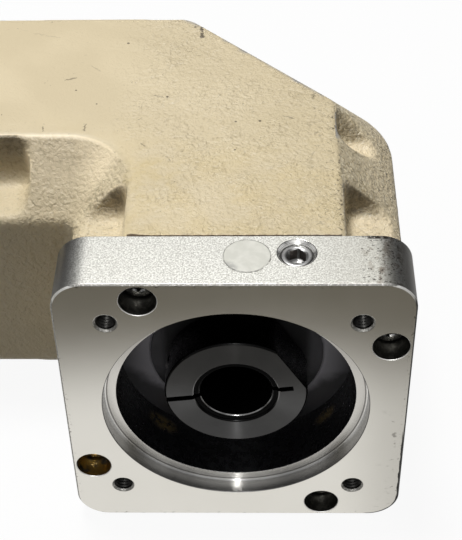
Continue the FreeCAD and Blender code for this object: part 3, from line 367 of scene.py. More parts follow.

# The tones lie over plain cream; the seat inside the plate's bore has its own, painted near black
# for shade.
pocket_shade = (0.20, 0.158, 0.09)
cream = layered(
    place.noise(24.0).rise(0.35, 0.68).blend((0.61, 0.515, 0.34), (0.66, 0.56, 0.375)),
    (ochre * 0.5, (0.63, 0.505, 0.27)),
    (x.rise(-8.0, 18.0) * top * 0.3, (0.52, 0.43, 0.26)),
    # Painted light: the arm's bevel lighter towards its top, the pocket floors lighter, more so on
    # the right.
    (bevel + pocket_floor * (0.2 + 0.5 * x.rise(0.0, 20.0)), (0.83, 0.70, 0.475)),
    (grain_shade * 0.7, (0.30, 0.23, 0.12)),
    # Painted shade and painted highlights on the grain of the right-hand slopes, fainter low down.
    (place.noise(0.95, 3.0, 0.4).rise(0.52, 0.36) * slope * 0.75, (0.27, 0.21, 0.105)),
    (place.noise(1.2, 3.0, 0.4).rise(0.53, 0.66) * slope * 0.7, (0.88, 0.79, 0.58)),
    (flecks * 0.5, (0.84, 0.77, 0.60)),
    (crest_wear_and_highlight * 0.65, (0.80, 0.75, 0.62)),
    (hollow_darkening * 0.45, (0.20, 0.145, 0.075)),
    (shaded_pocket_wall * (0.70 + 0.28 * hollows), pocket_shade),
    (shaded_deep_end * (0.4 + 0.4 * hollows), (0.12, 0.094, 0.055)),
    (shaded * 0.6, pocket_shade),
    # Painted shade: the arm's bevel darker towards its foot.
    (arm_bevel * z.rise(37.0, 30.0) * 0.3, (0.40, 0.32, 0.19)),
    (stain * 0.3, (0.52, 0.39, 0.13)),
    (marks.clamp() * 0.85, (0.085, 0.066, 0.042)),
    (chips, (0.42, 0.41, 0.39)))
# A painted reflection on the seat's sides over painted near black shade, and painted shade at its
# bottom.
seat_reflection = side.rise(16.0, 22.0) * side.rise(36.0, 23.0) * z.rise(-30.0, -14.0)
seat_bottom_shade = (z - side * 0.71 + place.noise(5.0, 3.0) * 6.0).rise(-21.0, -28.0)
seat_tone = layered(
    seat_reflection.blend((0.010, 0.010, 0.011), (0.80, 0.775, 0.83)),
    (seat_bottom_shade * 0.88, (0.010, 0.010, 0.010)))
feed(cast_paint, "Base Color", seat.blend(cream, seat_tone))
feed(cast_paint, "Roughness", 0.36 + pebbles * 0.2)
feed(cast_paint, "Metallic", chips * 0.4)
cast_elbow.data.materials.clear()
cast_elbow.data.materials.append(cast_paint)
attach(cast_elbow, "housing")
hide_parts("gear_housing")


# Taper roller bearings
# Ground bearing steel: cups pressed into the casting, cones on the shafts, rollers in steel cages.
# They are oiled, and lie out of sight in the closed housing.

def dress(finish, *nodes):
    """Gives a finish to pieces that keep their own shape."""
    for name in nodes:
        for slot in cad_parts[name].material_slots:
            slot.material = finish


def mottled(name, constants, patches, tones, fine, rough, turned=False):
    """A finish that wanders between two tones in patches, and in roughness more finely.

    Patches and fine are each a size in mm and a detail, rough is the least value and what is added.
    """
    finish, place = new_finish(name, constants, turned)
    feed(finish, "Base Color", place.noise(*patches).blend(*tones))
    feed(finish, "Roughness", rough[0] + place.noise(*fine) * rough[1])
    return finish


bare_metal = {"Metallic": 1.0}
bearings = ("input_front_", "input_rear_", "output_inner_", "output_outer_")
bearing_steel = mottled("polished_bearing_steel", bare_metal, (6.0, 2.0),
                        ((0.56, 0.56, 0.57), (0.68, 0.68, 0.69)), (0.3, 3.0), (0.14, 0.14))
dress(bearing_steel, *[bearing + part for bearing in bearings
                       for part in ("cup", "cone", "rollers")])
cage_steel = mottled("pressed_cage_steel", bare_metal, (4.0, 2.0),
                     ((0.33, 0.33, 0.33), (0.48, 0.47, 0.45)), (0.8, 3.0), (0.3, 0.25))
dress(cage_steel, *[bearing + "cage" for bearing in bearings])


# Shafts, gears and spacers
# Alloy steel, case hardened, the bearing seats ground and the rest turned.
# The bevel gear is keyed on the output shaft; blacked nuts and a circlip hold the rows together.

shaft_steel, place = new_finish("ground_shaft_steel", bare_metal)
grooves = place.node("TexWave", {"wave_type": "BANDS", "bands_direction": "X"},
                     {"Vector": place, "Scale": 1.3, "Distortion": 0.6, "Detail": 2.0})
feed(shaft_steel, "Base Color", place.noise(9.0).blend((0.47, 0.47, 0.48), (0.60, 0.60, 0.60)))
feed(shaft_steel, "Roughness", 0.2 + place.noise(0.5, 3.0) * 0.2)
emboss(shaft_steel, grooves, 0.12, 0.00005)
dress(shaft_steel, "output_shaft", "bevel_gear", "gear_key", "bearing_spacer", "output_shim")
nut_steel = mottled("blacked_nut_steel", {"Metallic": 0.8}, (2.5, 3.0),
                    ((0.05, 0.05, 0.053), (0.12, 0.12, 0.12)), (0.8, 3.0), (0.35, 0.2))
dress(nut_steel, "input_lock_nut", "gear_lock_nut", "input_circlip")


# Seals and O-ring
# Black nitrile rubber, moulded; the two shaft seals are pushed into their bores.
# The input seal's face is painted lighter on its sides beside the collar, away from the collar's
# shade: painted light.

dull = {"Specular IOR Level": 0.35}
rubber_black = (0.010, 0.010, 0.011)
rubber = mottled("black_nitrile_rubber", dull, (3.0, 3.0),
                 (rubber_black, (0.028, 0.027, 0.026)), (0.6, 3.0), (0.55, 0.25))
dress(rubber, "output_seal", "output_cover_o_ring")
seal_rubber_painted_light, place = new_finish("nitrile_rubber_painted_light", dull)
x, _, z = split(place)
# Painted light on the sides of the seal's face, above its lower part.
seal_lit_patch = abs(x).rise(18.5, 21.0) * (z + place.noise(4.0, 3.0) * 6.0).rise(-8.0, 0.0)
feed(seal_rubber_painted_light, "Base Color", seal_lit_patch.blend(rubber_black, (0.21, 0.205, 0.22)))
feed(seal_rubber_painted_light, "Roughness", 0.55 + place.noise(0.6, 3.0) * 0.25)
dress(seal_rubber_painted_light, "input_seal")


# Motor adapter plate
# Milled from aluminium bar: blasted on its sides, its motor face fine ground, its pilot turned.
# Four screws hold it on the casting; the motor is screwed into its four tapped corners.

def machined(name, node, edge, finishes, zone, body):
    """Makes a piece with the node's shape and broken edges, its own Z along the input shaft.

    The edge function gives the width and steps of an edge's break from its middle, and the zone
    function a face's finish from its middle and normal; middles and widths are in mm.
    """
    shape = bmesh.new()
    shape.from_mesh(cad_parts[node].data)
    bmesh.ops.remove_doubles(shape, verts=shape.verts, dist=1e-6)
    bmesh.ops.dissolve_limit(shape, angle_limit=math.radians(0.3),
                             verts=shape.verts, edges=shape.edges)
    sharp = {}
    for line in shape.edges:
        if line.is_manifold and line.calc_face_angle() > math.radians(28):
            sharp.setdefault(edge((line.verts[0].co + line.verts[1].co) * 500), []).append(line)
    for (width, steps), lines in sorted(sharp.items()):
        if width:
            bmesh.ops.bevel(shape, geom=lines, offset=width / 1000, segments=steps,
                            profile=0.5, affect="EDGES")
    shape.verts.index_update()
    mesh = bpy.data.meshes.new(name)
    mesh.from_pydata([corner.co for corner in shape.verts], [],
                     [[corner.index for corner in face.verts] for face in shape.faces])
    shape.free()
    for finish in finishes:
        mesh.materials.append(finish)
    for face in mesh.polygons:
        face.material_index = finishes.index(zone(face.center * 1000, face.normal))
    mesh.shade_smooth()
    mesh.set_sharp_from_angle(angle=math.radians(40))
    piece = bpy.data.objects.new(name, mesh)
    bpy.context.collection.objects.link(piece)
    even = piece.modifiers.new("even", "WEIGHTED_NORMAL")
    even.keep_sharp = True
    even.weight = 100
    apply_modifiers(piece)
    lie = Matrix.Rotation(-math.pi / 2, 4, "X")
    piece.data.transform(lie.inverted())
    piece.matrix_world = lie
    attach(piece, body)
    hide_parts(node)


def blasted_metal(name, dark, bright):
    """Bead blasted aluminium: a fine sparkling grain. Its place and its colour come as wires."""
    finish, place = new_finish(name, bare_metal, True)
    grain = place.noise(0.42)
    feed(finish, "Roughness", 0.25 + grain * 0.2)
    emboss(finish, grain * 0.7 + place.noise(0.9) * 0.3, 0.6, 0.0001)
    return finish, place, grain.rise(0.32, 0.68).blend(dark, bright)


def turned_metal(name):
    """Turned metal: its fine grooves draw each gleam out. Its place and mottling come as wires."""
    grooved = {**bare_metal, "Anisotropic": 1.0, "Anisotropic Rotation": 0.25}
    finish, place = new_finish(name, grooved, True)
    return finish, place, place.noise(5.0, 3.0)


tap_half = 31.82
pilot_radius = 35.0
bore_radius = 31.75
sunk_radius = 4.75
face_break = 0.12
screw_circle, first_screw = 45.75, 30.76
screw_angles = [math.radians(first_screw + 90 * quarter) for quarter in range(4)]
screw_spots = [(screw_circle * math.cos(angle), screw_circle * math.sin(angle))
               for angle in screw_angles]
plug_low, plug_high = [Vector(corner) * 1000 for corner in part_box("access_plug")]
plug_top = plug_high.z
plug_place = Vector(((plug_low.x + plug_high.x) / 2, (plug_low.y + plug_high.y) / 2, 0.0)) / 1000

plate_sides, place, silver = blasted_metal("blasted_aluminium",
                                           (0.60, 0.585, 0.53), (1.0, 0.995, 0.93))
x, y, z = split(place)
upper = z.rise(31.0, 36.5)
corner = x.rise(29.0, 36.0) * x.rise(45.0, 38.5) * z.rise(30.0, 44.0)
rust = place.noise(2.2, 3.0).rise(0.54, 0.64) * corner
drift = x - y * 0.18
rust_line = drift.rise(34.2, 35.0) * drift.rise(37.0, 36.0) * z.rise(42.5, 44.0)
rust_line = rust_line * place.noise(1.3, 4.0, 0.6).rise(0.42, 0.54)
rust_line = rust_line * (0.45 + 0.4 * y.rise(4.0, 14.0))
specks = (place.noise(0.65, 3.0, 0.6) + corner * 0.10).rise(0.66, 0.75)
specks = specks * corner.rise(0.02, 0.2) * 0.85
chipped = place.noise(1.0, 4.0, 0.6).rise(0.50, 0.56) * y.rise(16.6, 17.7)
chipped = chipped * x.rise(27.0, 33.0) * z.rise(43.5, 44.8)
rear_chip = place.noise(1.4, 3.0, 0.5).rise(0.38, 0.46) * y.rise(16.1, 16.8)
rear_chip = rear_chip * x.rise(32.0, 34.0) * x.rise(39.5, 37.5) * z.rise(43.5, 44.3)
feed(plate_sides, "Base Color", layered(
    silver,
    (rust * 0.65, (0.20, 0.13, 0.08)),
    (rust_line, (0.12, 0.055, 0.035)),
    (x.rise(12.0, 38.0) * z.rise(44.0, 44.8) * 0.45, (0.56, 0.54, 0.46)),
    # Painted dark reflections on the upper rounded corners, stronger on the right.
    (x.rise(34.8, 37.2) * 0.5 * upper, (0.10, 0.098, 0.090)),
    (x.rise(39.5, 43.0) * 0.95 * upper, (0.03, 0.0295, 0.028)),
    (x.rise(-35.0, -38.5) * 0.3 * upper, (0.14, 0.14, 0.14)),
    (x.rise(-39.5, -42.5) * 0.85 * upper, (0.14, 0.142, 0.15)),
    (specks.most(chipped).most(rear_chip), (0.045, 0.036, 0.030))))

filed_edge, place = new_finish("filed_plate_edge", bare_metal, True)
x, _, z = split(place)
sparkle = place.noise(0.55, 3.0)
tap_x = abs(x) - tap_half
tap_z = abs(z) - tap_half
from_tap = tap_x * tap_x + tap_z * tap_z
counterbore_rim = abs(x).most(abs(z)).rise(44.4, 44.2) * from_tap.rise(20.0, 30.0)
# Painted shade, near black, on the breaks of the lower right corner and the right side.
shaded_edge = (x - z).rise(79.0, 81.5).most(x.rise(43.5, 44.5) * 0.8)
feed(filed_edge, "Base Color", layered(
    sparkle.rise(0.45, 0.75).blend((0.20, 0.195, 0.18), (0.56, 0.55, 0.52)),
    (counterbore_rim * 0.8, (0.80, 0.79, 0.76)),
    (shaded_edge, (0.015, 0.015, 0.016))))
feed(filed_edge, "Roughness", 0.35 + sparkle * 0.3)

pilot_rim = mottled("broken_pilot_rim", bare_metal, (1.5, 2.0),
                    ((0.05, 0.05, 0.05), (0.16, 0.155, 0.15)), (0.6, 2.0), (0.3, 0.2), True)

plate_face, place = new_finish("fine_ground_aluminium", bare_metal, True)
x, _, z = split(place)
smear = place.noise(14.0, 3.0)
hairs = place.scaled((0.35, 1.0, 5.0)).noise(1.0, 3.0)
scuffs = place.noise(2.4, 4.0, 0.5).rise(0.60, 0.72) * x.rise(37.0, 42.0) * z.rise(6.0, -14.0)
nicks = abs(x).most(abs(z)).rise(43.2, 44.6) * place.noise(1.1, 4.0, 0.8).rise(0.60, 0.66)
nicks = nicks + x.rise(40.5, 44.0) * z.rise(0.0, -20.0) * place.noise(0.9, 4.0).rise(0.66, 0.70)
# Painted shade, near black, on the lower right corner and the lower part of the right edge.
corner_reach = place.vector("DISTANCE", place, (36.5, 0.0, -36.5), output="Value")
shaded_corner = (corner_reach + place.noise(3.0) * 0.5).rise(7.9, 8.1) * (x - z).rise(79.5, 81.5)
shaded_side = (x + place.noise(3.5) * 0.8).rise(44.55, 44.75) * z.rise(-6.0, -14.0)
feed(plate_face, "Base Color", layered(
    smear.blend((0.70, 0.685, 0.635), (0.76, 0.745, 0.70)),
    (scuffs * 0.75, (0.22, 0.21, 0.19)),
    ((nicks * 0.8).clamp(), (0.10, 0.09, 0.08)),
    (shaded_corner.most(shaded_side), (0.03, 0.03, 0.03))))
feed(plate_face, "Roughness", 0.13 + smear * 0.06 + hairs * 0.05)
emboss(plate_face, hairs, 0.05, 0.00003)

# Painted shade: the pilot wall is a darker tone of the ledge's turned aluminium.
pilot_wall, _, patch = turned_metal("turned_pilot_wall")
feed(pilot_wall, "Base Color", patch.blend((0.33, 0.33, 0.325), (0.45, 0.447, 0.44)))
feed(pilot_wall, "Roughness", 0.17 + patch * 0.1)

pilot_ledge, place, patch = turned_metal("turned_pilot_ledge")
reach = bore_reach(place)
feed(pilot_ledge, "Base Color", layered(
    patch.blend((0.64, 0.625, 0.59), (0.74, 0.725, 0.69)),
    # A painted shadow line, then a painted highlight, at the ledge's outer edge.
    (reach.rise(33.95, 34.15) * reach.rise(34.5, 34.3), (0.26, 0.25, 0.24)),
    (reach.rise(34.4, 34.55), (1.0, 0.99, 0.96))))
feed(pilot_ledge, "Roughness", 0.19 + patch * 0.1)

bore_grooves = {"Anisotropic": 0.7, "Anisotropic Rotation": 0.25}
dark_bore, place = new_finish("greased_bore_painted_shade", bore_grooves, True)
_, _, z = split(place)
# The bore is darkened as painted shade, its upper half near black; brown grease lies on it in
# patches.
oil = (z + place.noise(6.0) * 4.0).rise(-6.0, -1.0)
squeezed = place.scaled((1.0, 2.0, 1.0))
grease = squeezed.spot((-21.3, 31.0, -23.6), 6.6) + squeezed.spot((25.4, 30.6, -20.6), 5.6)
grease = grease * place.noise(1.4, 3.0).rise(0.34, 0.52)
feed(dark_bore, "Base Color", layered(
    place.noise(5.0, 3.0).blend((0.08, 0.08, 0.086), (0.15, 0.15, 0.16)),
    (oil, (0.012, 0.012, 0.012)),
    (grease, (0.34, 0.25, 0.11))))
feed(dark_bore, "Metallic", 1 - grease * 0.8)
feed(dark_bore, "Roughness", 0.2 + place.noise(2.0, 3.0) * 0.15)

sunk_hole, place = new_finish("drilled_hole_wall", bare_metal, True)
x, _, z = split(place)
# The drilled walls are darkened as painted shade and mottled darker; the lower left one has an
# amber patch.
cutter_marks = place.scaled((0.6, 3.0, 0.6)).noise(1.0)
amber_patch = x.rise(-33.9, -34.6) * z.rise(-10.0, -20.0) * place.noise(3.0).rise(0.3, 0.6)
feed(sunk_hole, "Base Color", layered(
    cutter_marks.blend((0.12, 0.117, 0.10), (0.21, 0.204, 0.184)),
    (place.noise(1.2, 3.0).rise(0.40, 0.55) * 0.5, (0.04, 0.04, 0.035)),
    (amber_patch, (0.50, 0.32, 0.08))))
feed(sunk_hole, "Roughness", 0.3 + cutter_marks * 0.2)

# The tapped threads are near black: painted shade in the holes.
thread_metal = mottled("tapped_thread", bare_metal, (0.8, 3.0),
                       ((0.006, 0.006, 0.0055), (0.04, 0.039, 0.037)), (0.4, 2.0), (0.25, 0.2))

hole_mouth, place = new_finish("turned_hole_mouth", bare_metal, True)
_, _, z = split(place)
ring_marks = z.node("CombineXYZ", {}, {"Z": z}).noise(0.22, 1.0).rise(0.36, 0.60)
feed(hole_mouth, "Base Color", ring_marks.blend((0.22, 0.215, 0.20), (0.86, 0.85, 0.82)))
feed(hole_mouth, "Roughness", 0.15 + place.noise(0.6) * 0.2)


def sunk_distance(middle):
    """Distance in mm from the nearest counterbore's line."""
    return min(math.hypot(middle.x - across, middle.z - up) for across, up in screw_spots)


def plug_distance(middle):
    """Distance in mm from the access plug's line."""
    return (middle / 1000 - plug_place).xy.length * 1000


def plate_zone(middle, normal):
    """The finish of each face of the plate."""
    rear = middle.y > plate_thick - 1
    radius = math.hypot(middle.x, middle.z)
    outward = max(abs(middle.x), abs(middle.z))
    if rear and normal.y > 0.9:
        return plate_sides
    if middle.y < 0.6 and 0.25 < -normal.y < 0.95:
        return pilot_rim if abs(radius - pilot_radius) < 0.4 else filed_edge
    tapped = math.hypot(abs(middle.x) - tap_half, abs(middle.z) - tap_half) < 3.15
    if tapped and (middle.y > face_break or abs(normal.y) < 0.9):
        return thread_metal
    if middle.z > 38 and plug_distance(middle) < 5.15 and normal.z < 0.95:
        return hole_mouth
    if abs(normal.y) > 0.9 and middle.y < 5:
        return plate_face if middle.y < face_break else pilot_ledge
    if outward > 44.55 or outward > 36 and rear:
        return plate_sides
    if radius < bore_radius + 0.1:
        return dark_bore
    if middle.y > 0.35 and sunk_distance(middle) < sunk_radius + 0.03:
        return sunk_hole
    if radius < pilot_radius + 0.2 and middle.y > face_break:
        return pilot_wall
    return plate_face if middle.y < 0.5 else plate_sides


def plate_edge(middle):
    """The pilot's rim and inner corner, and the rims of the counterbores, have wide flat breaks."""
    pilot = abs(math.hypot(middle.x, middle.z) - pilot_radius) < 0.2
    if pilot and 1.0 < middle.y < 8.0:
        return 0.22, 1
    if middle.y < 0.1 and (pilot or abs(sunk_distance(middle) - sunk_radius) < 0.15):
        return 0.18, 1
    return face_break, 3


machined("adapter_plate", "motor_adapter_plate", plate_edge,
         [plate_sides, plate_face, pilot_wall, pilot_ledge, dark_bore, sunk_hole, hole_mouth,
          thread_metal, filed_edge, pilot_rim], plate_zone,
         "housing")


def new_piece(name, shape, finishes, body, zone=None):
    """A piece from a bmesh, sharp edges kept; zone gives a face's finish from its middle in mm."""
    mesh = bpy.data.meshes.new(name)
    shape.to_mesh(mesh)
    shape.free()
    for finish in finishes:
        mesh.materials.append(finish)
    if zone:
        for face in mesh.polygons:
            face.material_index = finishes.index(zone(face.center * 1000))
    mesh.shade_smooth()
    mesh.set_sharp_from_angle(angle=math.radians(35))
    piece = bpy.data.objects.new(name, mesh)
    bpy.context.collection.objects.link(piece)
    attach(piece, body)
    return piece


sealant = mottled("dark_sealant", {"Specular IOR Level": 0.3}, (2.0, 3.0),
                  ((0.05, 0.035, 0.022), (0.20, 0.145, 0.09)), (0.7, 2.0), (0.6, 0.2))
bead_half, bead_steps, bead_sides = 26.9, 120, 8
bead = bmesh.new()
before = None
for step in range(bead_steps + 1):
    across = -bead_half + 2 * bead_half * step / bead_steps
    size = 0.15 + 0.03 * math.sin(1.9 * across) + 0.03 * math.sin(4.3 * across)
    size += 0.26 * math.exp(-((across + 25.5) / 2.2) ** 2)
    ring = []
    for turn in range(bead_sides):
        angle = 2 * math.pi * turn / bead_sides
        up = min(44.5 + 1.5 * size * math.sin(angle), 44.98)
        ring.append(bead.verts.new(Vector((across, 18.32 + size * math.cos(angle), up)) / 1000))
    if before:
        for turn in range(bead_sides):
            ahead = (turn + 1) % bead_sides
            bead.faces.new((before[turn], ring[turn], ring[ahead], before[ahead]))
    else:
        bead.faces.new(ring)
    before = ring
bead.faces.new(reversed(ring))
new_piece("sealant_bead", bead, [sealant], "housing")


def tap_thread(shape, x, z, radius, pitch, depth, length):
    """Adds the crests of a tapped thread that runs in from the motor face, in mm."""
    steps, begin, flank = 20, 0.7, 0.38
    before = None
    for step in range(int(steps * length / pitch) + 1):
        angle = 2 * math.pi * step / steps
        along = begin + pitch * step / steps
        ring = []
        for reach, shift in ((radius, -flank), (radius - depth, 0.0), (radius, flank)):
            across, up = x + reach * math.cos(angle), z + reach * math.sin(angle)
            ring.append(shape.verts.new(Vector((across, along + shift * pitch, up)) / 1000))
        if before:
            for here, ahead in ((0, 1), (1, 2), (2, 0)):
                shape.faces.new((before[here], ring[here], ring[ahead], before[ahead]))
        else:
            shape.faces.new(ring)
        before = ring
    shape.faces.new(reversed(ring))


threads = bmesh.new()
for across in (-tap_half, tap_half):
    for up in (-tap_half, tap_half):
        tap_thread(threads, across, up, 2.51, 1.0, 0.42, 14.0)
new_piece("tap_threads", threads, [thread_metal], "housing")


# Screws of the plate, the collar and the output cover
# Socket head cap screws of hardened steel, blacked, their black worn thin.
# They are sunk in counterbores and tightened with a hexagon key.

def lathe(shape, profile, at, steps=48):
    """Adds a turned form: rings of (radius, height in mm, corners); 6 corners make a hexagon."""
    rings = []
    for radius, height, corners in profile:
        ring = []
        for step in range(steps):
            angle = 2 * math.pi * step / steps
            reach = radius
            if corners:
                reach = radius / math.cos(angle % (2 * math.pi / corners) - math.pi / corners)
            point = Vector((reach * math.cos(angle), reach * math.sin(angle), height)) / 1000
            ring.append(shape.verts.new(at @ point))
        rings.append(ring)
    for lower, upper in zip(rings, rings[1:]):
        for step in range(steps):
            ahead = (step + 1) % steps
            shape.faces.new((lower[step], lower[ahead], upper[ahead], upper[step]))
    shape.faces.new(list(reversed(rings[0])))
    shape.faces.new(rings[-1])


def cap_screw(shape, thread, length, at):
    """Adds a socket head cap screw: seat at height 0, head above it, shank below."""
    shank = thread / 2
    head = (1.5 * thread + 1) / 2
    socket = (thread - 1) / 2
    lathe(shape, ((0.6 * shank, -length, 0), (shank - 0.1, -length + 0.6, 0), (shank - 0.1, 0, 0),
                  (head, 0, 0), (head, thread - 0.5, 0), (head - 0.15, thread - 0.18, 0),
                  (head - 0.5, thread, 0), (1.2 * socket, thread, 0), (socket, thread - 0.3, 6),
                  (socket, 0.45 * thread, 6), (0.3, 0.35 * thread, 0)), at)


blacked, place = new_finish("blacked_screw_steel", bare_metal)
worn_black = place.noise(1.2, 3.0).rise(0.4, 0.65)
feed(blacked, "Base Color", worn_black.blend((0.14, 0.14, 0.14), (0.55, 0.54, 0.52)))
feed(blacked, "Roughness", 0.15 + place.noise(0.5, 3.0) * 0.2)
dress(blacked, "clamp_screw", "output_cover_screws")
screw_thread, screw_length, screw_seat = 5.0, 16.0, 11.0
screw_shape = bmesh.new()
for quarter, (across, up) in enumerate(screw_spots):
    seat_place = Matrix.Translation(Vector((across, screw_seat, up)) / 1000)
    turn = Matrix.Rotation(math.radians(90), 4, "X") @ Matrix.Rotation(0.4 + 1.1 * quarter, 4, "Z")
    cap_screw(screw_shape, screw_thread, screw_length, seat_place @ turn)
adapter_screws = new_piece("plate_screws", screw_shape, [blacked], "housing")
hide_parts("adapter_screws")


# Input sleeve and pinion
# One alloy steel shaft: a slotted, blacked sleeve for the motor shaft, a pinion cut at its end.
# Its edges are worn bright where shafts were pushed in; the collar's bore edge has a painted
# highlight on its upper part.

sleeve_black = mottled("blacked_sleeve", {"Specular IOR Level": 0.02}, (3.0, 3.0),
                       ((0.002, 0.002, 0.002), (0.006, 0.006, 0.006)), (0.7, 3.0), (0.12, 0.12))
worn_and_lit_steel, place = new_finish("worn_sleeve_edge_highlight", bare_metal, True)
_, _, z = split(place)
reach = bore_reach(place)
# A painted highlight on the upper part of the collar's bore edge, and wear on the sleeve's inner
# edge.
rubs_and_highlights = reach.rise(11.25, 11.40) * reach.rise(12.0, 11.7) * z.rise(-6.0, 0.0)
rubs_and_highlights = rubs_and_highlights + reach.rise(9.85, 9.65)
steel = place.noise(1.5, 3.0).blend((0.10, 0.10, 0.10), (0.36, 0.355, 0.35))
feed(worn_and_lit_steel, "Base Color", rubs_and_highlights.blend((0.006, 0.006, 0.006), steel))
feed(worn_and_lit_steel, "Roughness", 0.15 + place.noise(0.7, 3.0) * 0.15)
sleeve_front = 8


def sleeve_zone(middle, normal):
    """Worn steel on the broken front edges, blacked steel on the rest."""
    return worn_and_lit_steel if middle.y < sleeve_front and 0.25 < abs(normal.y) < 0.95 else sleeve_black


machined("slotted_sleeve", "pinion_shaft",
         lambda middle: (0.12, 2) if middle.y < sleeve_front else (0, 0),
         [sleeve_black, worn_and_lit_steel], sleeve_zone, "input_train")


# Clamp collar
# Turned from steel and blacked, split by a full and a half slot, with a milled balance flat.
# Its screw squeezes it on the slotted sleeve to grip the motor shaft.

collar_face, place, patch = turned_metal("blacked_collar_face")
# Painted shade and light: the face darker above the shaft and lighter below it.
low = split(place)[2].rise(6.0, -6.0)
shaded_upper_tone = patch.blend((0.030, 0.030, 0.029), (0.052, 0.051, 0.050))
lit_lower_tone = patch.blend((0.065, 0.065, 0.066), (0.110, 0.110, 0.110))
feed(collar_face, "Base Color", low.blend(shaded_upper_tone, lit_lower_tone))
feed(collar_face, "Roughness", 0.20 + low * 0.14 + patch * 0.1)
collar_side = mottled("blacked_collar_side", bare_metal, (4.0, 3.0),
                      ((0.012, 0.012, 0.012), (0.030, 0.030, 0.030)), (0.8, 3.0), (0.2, 0.15), True)


def collar_zone(middle, normal):
    """Turned end faces, broken front edges with a painted highlight on the bore's upper edge, and
    blacked steel outside, in the slots and the bore.
    """
    if abs(normal.y) > 0.95:
        return collar_face
    return worn_and_lit_steel if middle.y < 6.2 and abs(normal.y) > 0.25 else collar_side


machined("split_collar", "clamp_collar", lambda middle: (0.18, 2),
         [collar_face, collar_side, worn_and_lit_steel], collar_zone, "input_train")


# Access plug and oil plug
# Zinc plated steel plugs with hexagon sockets, turned and threaded.
# The access plug closes the way to the clamp screw; the oil plug seals on a copper washer.

zinc = mottled("zinc_plated_steel", bare_metal, (2.0, 3.0),
               ((0.20, 0.20, 0.195), (0.45, 0.445, 0.435)), (0.6, 3.0), (0.2, 0.25))
dress(zinc, "oil_plug")
socket_dark = mottled("dark_socket", bare_metal, (0.9, 3.0),
                      ((0.06, 0.05, 0.045), (0.20, 0.18, 0.165)), (0.5, 2.0), (0.3, 0.2))
plug_profile = ((2.6, 10.0, 0), (3.95, 9.0, 0), (3.95, 0.85, 0), (3.5, 0.6, 0), (3.5, 0.45, 0),
                (3.95, 0.35, 0), (3.85, 0.1, 0), (3.6, 0.0, 0), (2.95, 0.0, 0), (2.75, 0.1, 0),
                (2.35, 0.25, 6), (2.35, 3.3, 6), (0.4, 4.3, 0))
plug_shape = bmesh.new()
lathe(plug_shape, [(radius, plug_top - depth, corners) for radius, depth, corners in plug_profile],
      Matrix.Translation(plug_place) @ Matrix.Rotation(0.35, 4, "Z"))


def plug_zone(middle):
    """Darker steel in the socket, zinc on the rest."""
    in_socket = plug_distance(middle) < 2.6 and -3.4 < middle.z - plug_top < -0.2
    return socket_dark if in_socket else zinc


access_plug = new_piece("plug_screw", plug_shape, [zinc, socket_dark],
                        "housing", plug_zone)
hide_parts("access_plug")

copper = mottled("annealed_copper", bare_metal, (2.0, 3.0),
                 ((0.52, 0.24, 0.13), (0.76, 0.42, 0.27)), (0.6, 3.0), (0.3, 0.2))
dress(copper, "oil_plug_washer")


# Marker sticker
# A round disc of white vinyl, cut by a die, dirty and a little torn at its edge.
# It is stuck on the plate's top side beside the access plug.

sticker_x, sticker_y, sticker_radius, sticker_steps = 3.3, 10.2, 5.98, 72
sticker_profile = ((0.0, 45.13), (0.5, 45.13), (0.86, 45.14),
                   (0.97, 45.145), (1.0, 45.09), (1.0, 45.01))
vinyl, place = new_finish("white_vinyl", {"Specular IOR Level": 0.5})
x, y, _ = split(place)
from_x, from_y = x - sticker_x, y - sticker_y
edge_dirt = x.sum("SQRT", from_x * from_x + from_y * from_y).rise(5.55, 5.95)
edge_dirt = edge_dirt * (0.4 + 0.6 * place.noise(1.5).rise(0.4, 0.6))
# A grey patch towards the front left.
grey_patch = place.spot((-1.4, 5.6, 45.1), 3.2) * place.noise(1.2, 3.0).rise(0.35, 0.6) * 0.6
feed(vinyl, "Base Color", layered(
    place.noise(3.0, 3.0).rise(0.35, 0.7).blend((0.60, 0.595, 0.53), (0.70, 0.69, 0.625)),
    (grey_patch, (0.25, 0.25, 0.24)),
    (edge_dirt, (0.12, 0.115, 0.10))))
feed(vinyl, "Roughness", 0.35 + place.noise(1.0, 3.0) * 0.2)
sticker_shape = bmesh.new()
rings = []
for share, height in sticker_profile:
    ring = []
    for step in range(sticker_steps):
        angle = 2 * math.pi * step / sticker_steps
        torn = 0.45 * math.exp(-((angle - 5.55) / 0.09) ** 2)
        torn += 0.3 * math.exp(-((angle - 5.85) / 0.06) ** 2)
        reach = share * (sticker_radius - torn - 0.03 * math.sin(7 * angle))
        point = (sticker_x + reach * math.cos(angle), sticker_y + reach * math.sin(angle), height)
        ring.append(sticker_shape.verts.new(Vector(point) / 1000))
    rings.append(ring)
for inner, outer in zip(rings, rings[1:]):
    for step in range(sticker_steps):
        ahead = (step + 1) % sticker_steps
        sticker_shape.faces.new((inner[step], outer[step], outer[ahead], inner[ahead]))
bmesh.ops.remove_doubles(sticker_shape, verts=sticker_shape.verts, dist=1e-7)
sticker = new_piece("round_sticker", sticker_shape, [vinyl], "housing")
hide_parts("marker_sticker")


# Output cover
# Turned and milled from aluminium, then bead blasted.
# Four screws hold it on the casting's left end, over the shim and the O-ring.

cover_metal, _, silver = blasted_metal("blasted_cover", (0.50, 0.50, 0.48), (0.78, 0.78, 0.75))
feed(cover_metal, "Base Color", silver)


def cover_edge(middle):
    """Only the edges of the square outside are broken."""
    return (0.25, 3) if max(abs(middle.y - output_line), abs(middle.z)) > 44.0 else (0, 0)


machined("end_cover", "output_cover", cover_edge, [cover_metal], lambda middle, normal: cover_metal,
         "housing")


# Studio
# A pale floor under the part, a soft lamp above on the left and weak light all round.
# Light screens are seen only in what gleams; the camera looks down on the motor face.

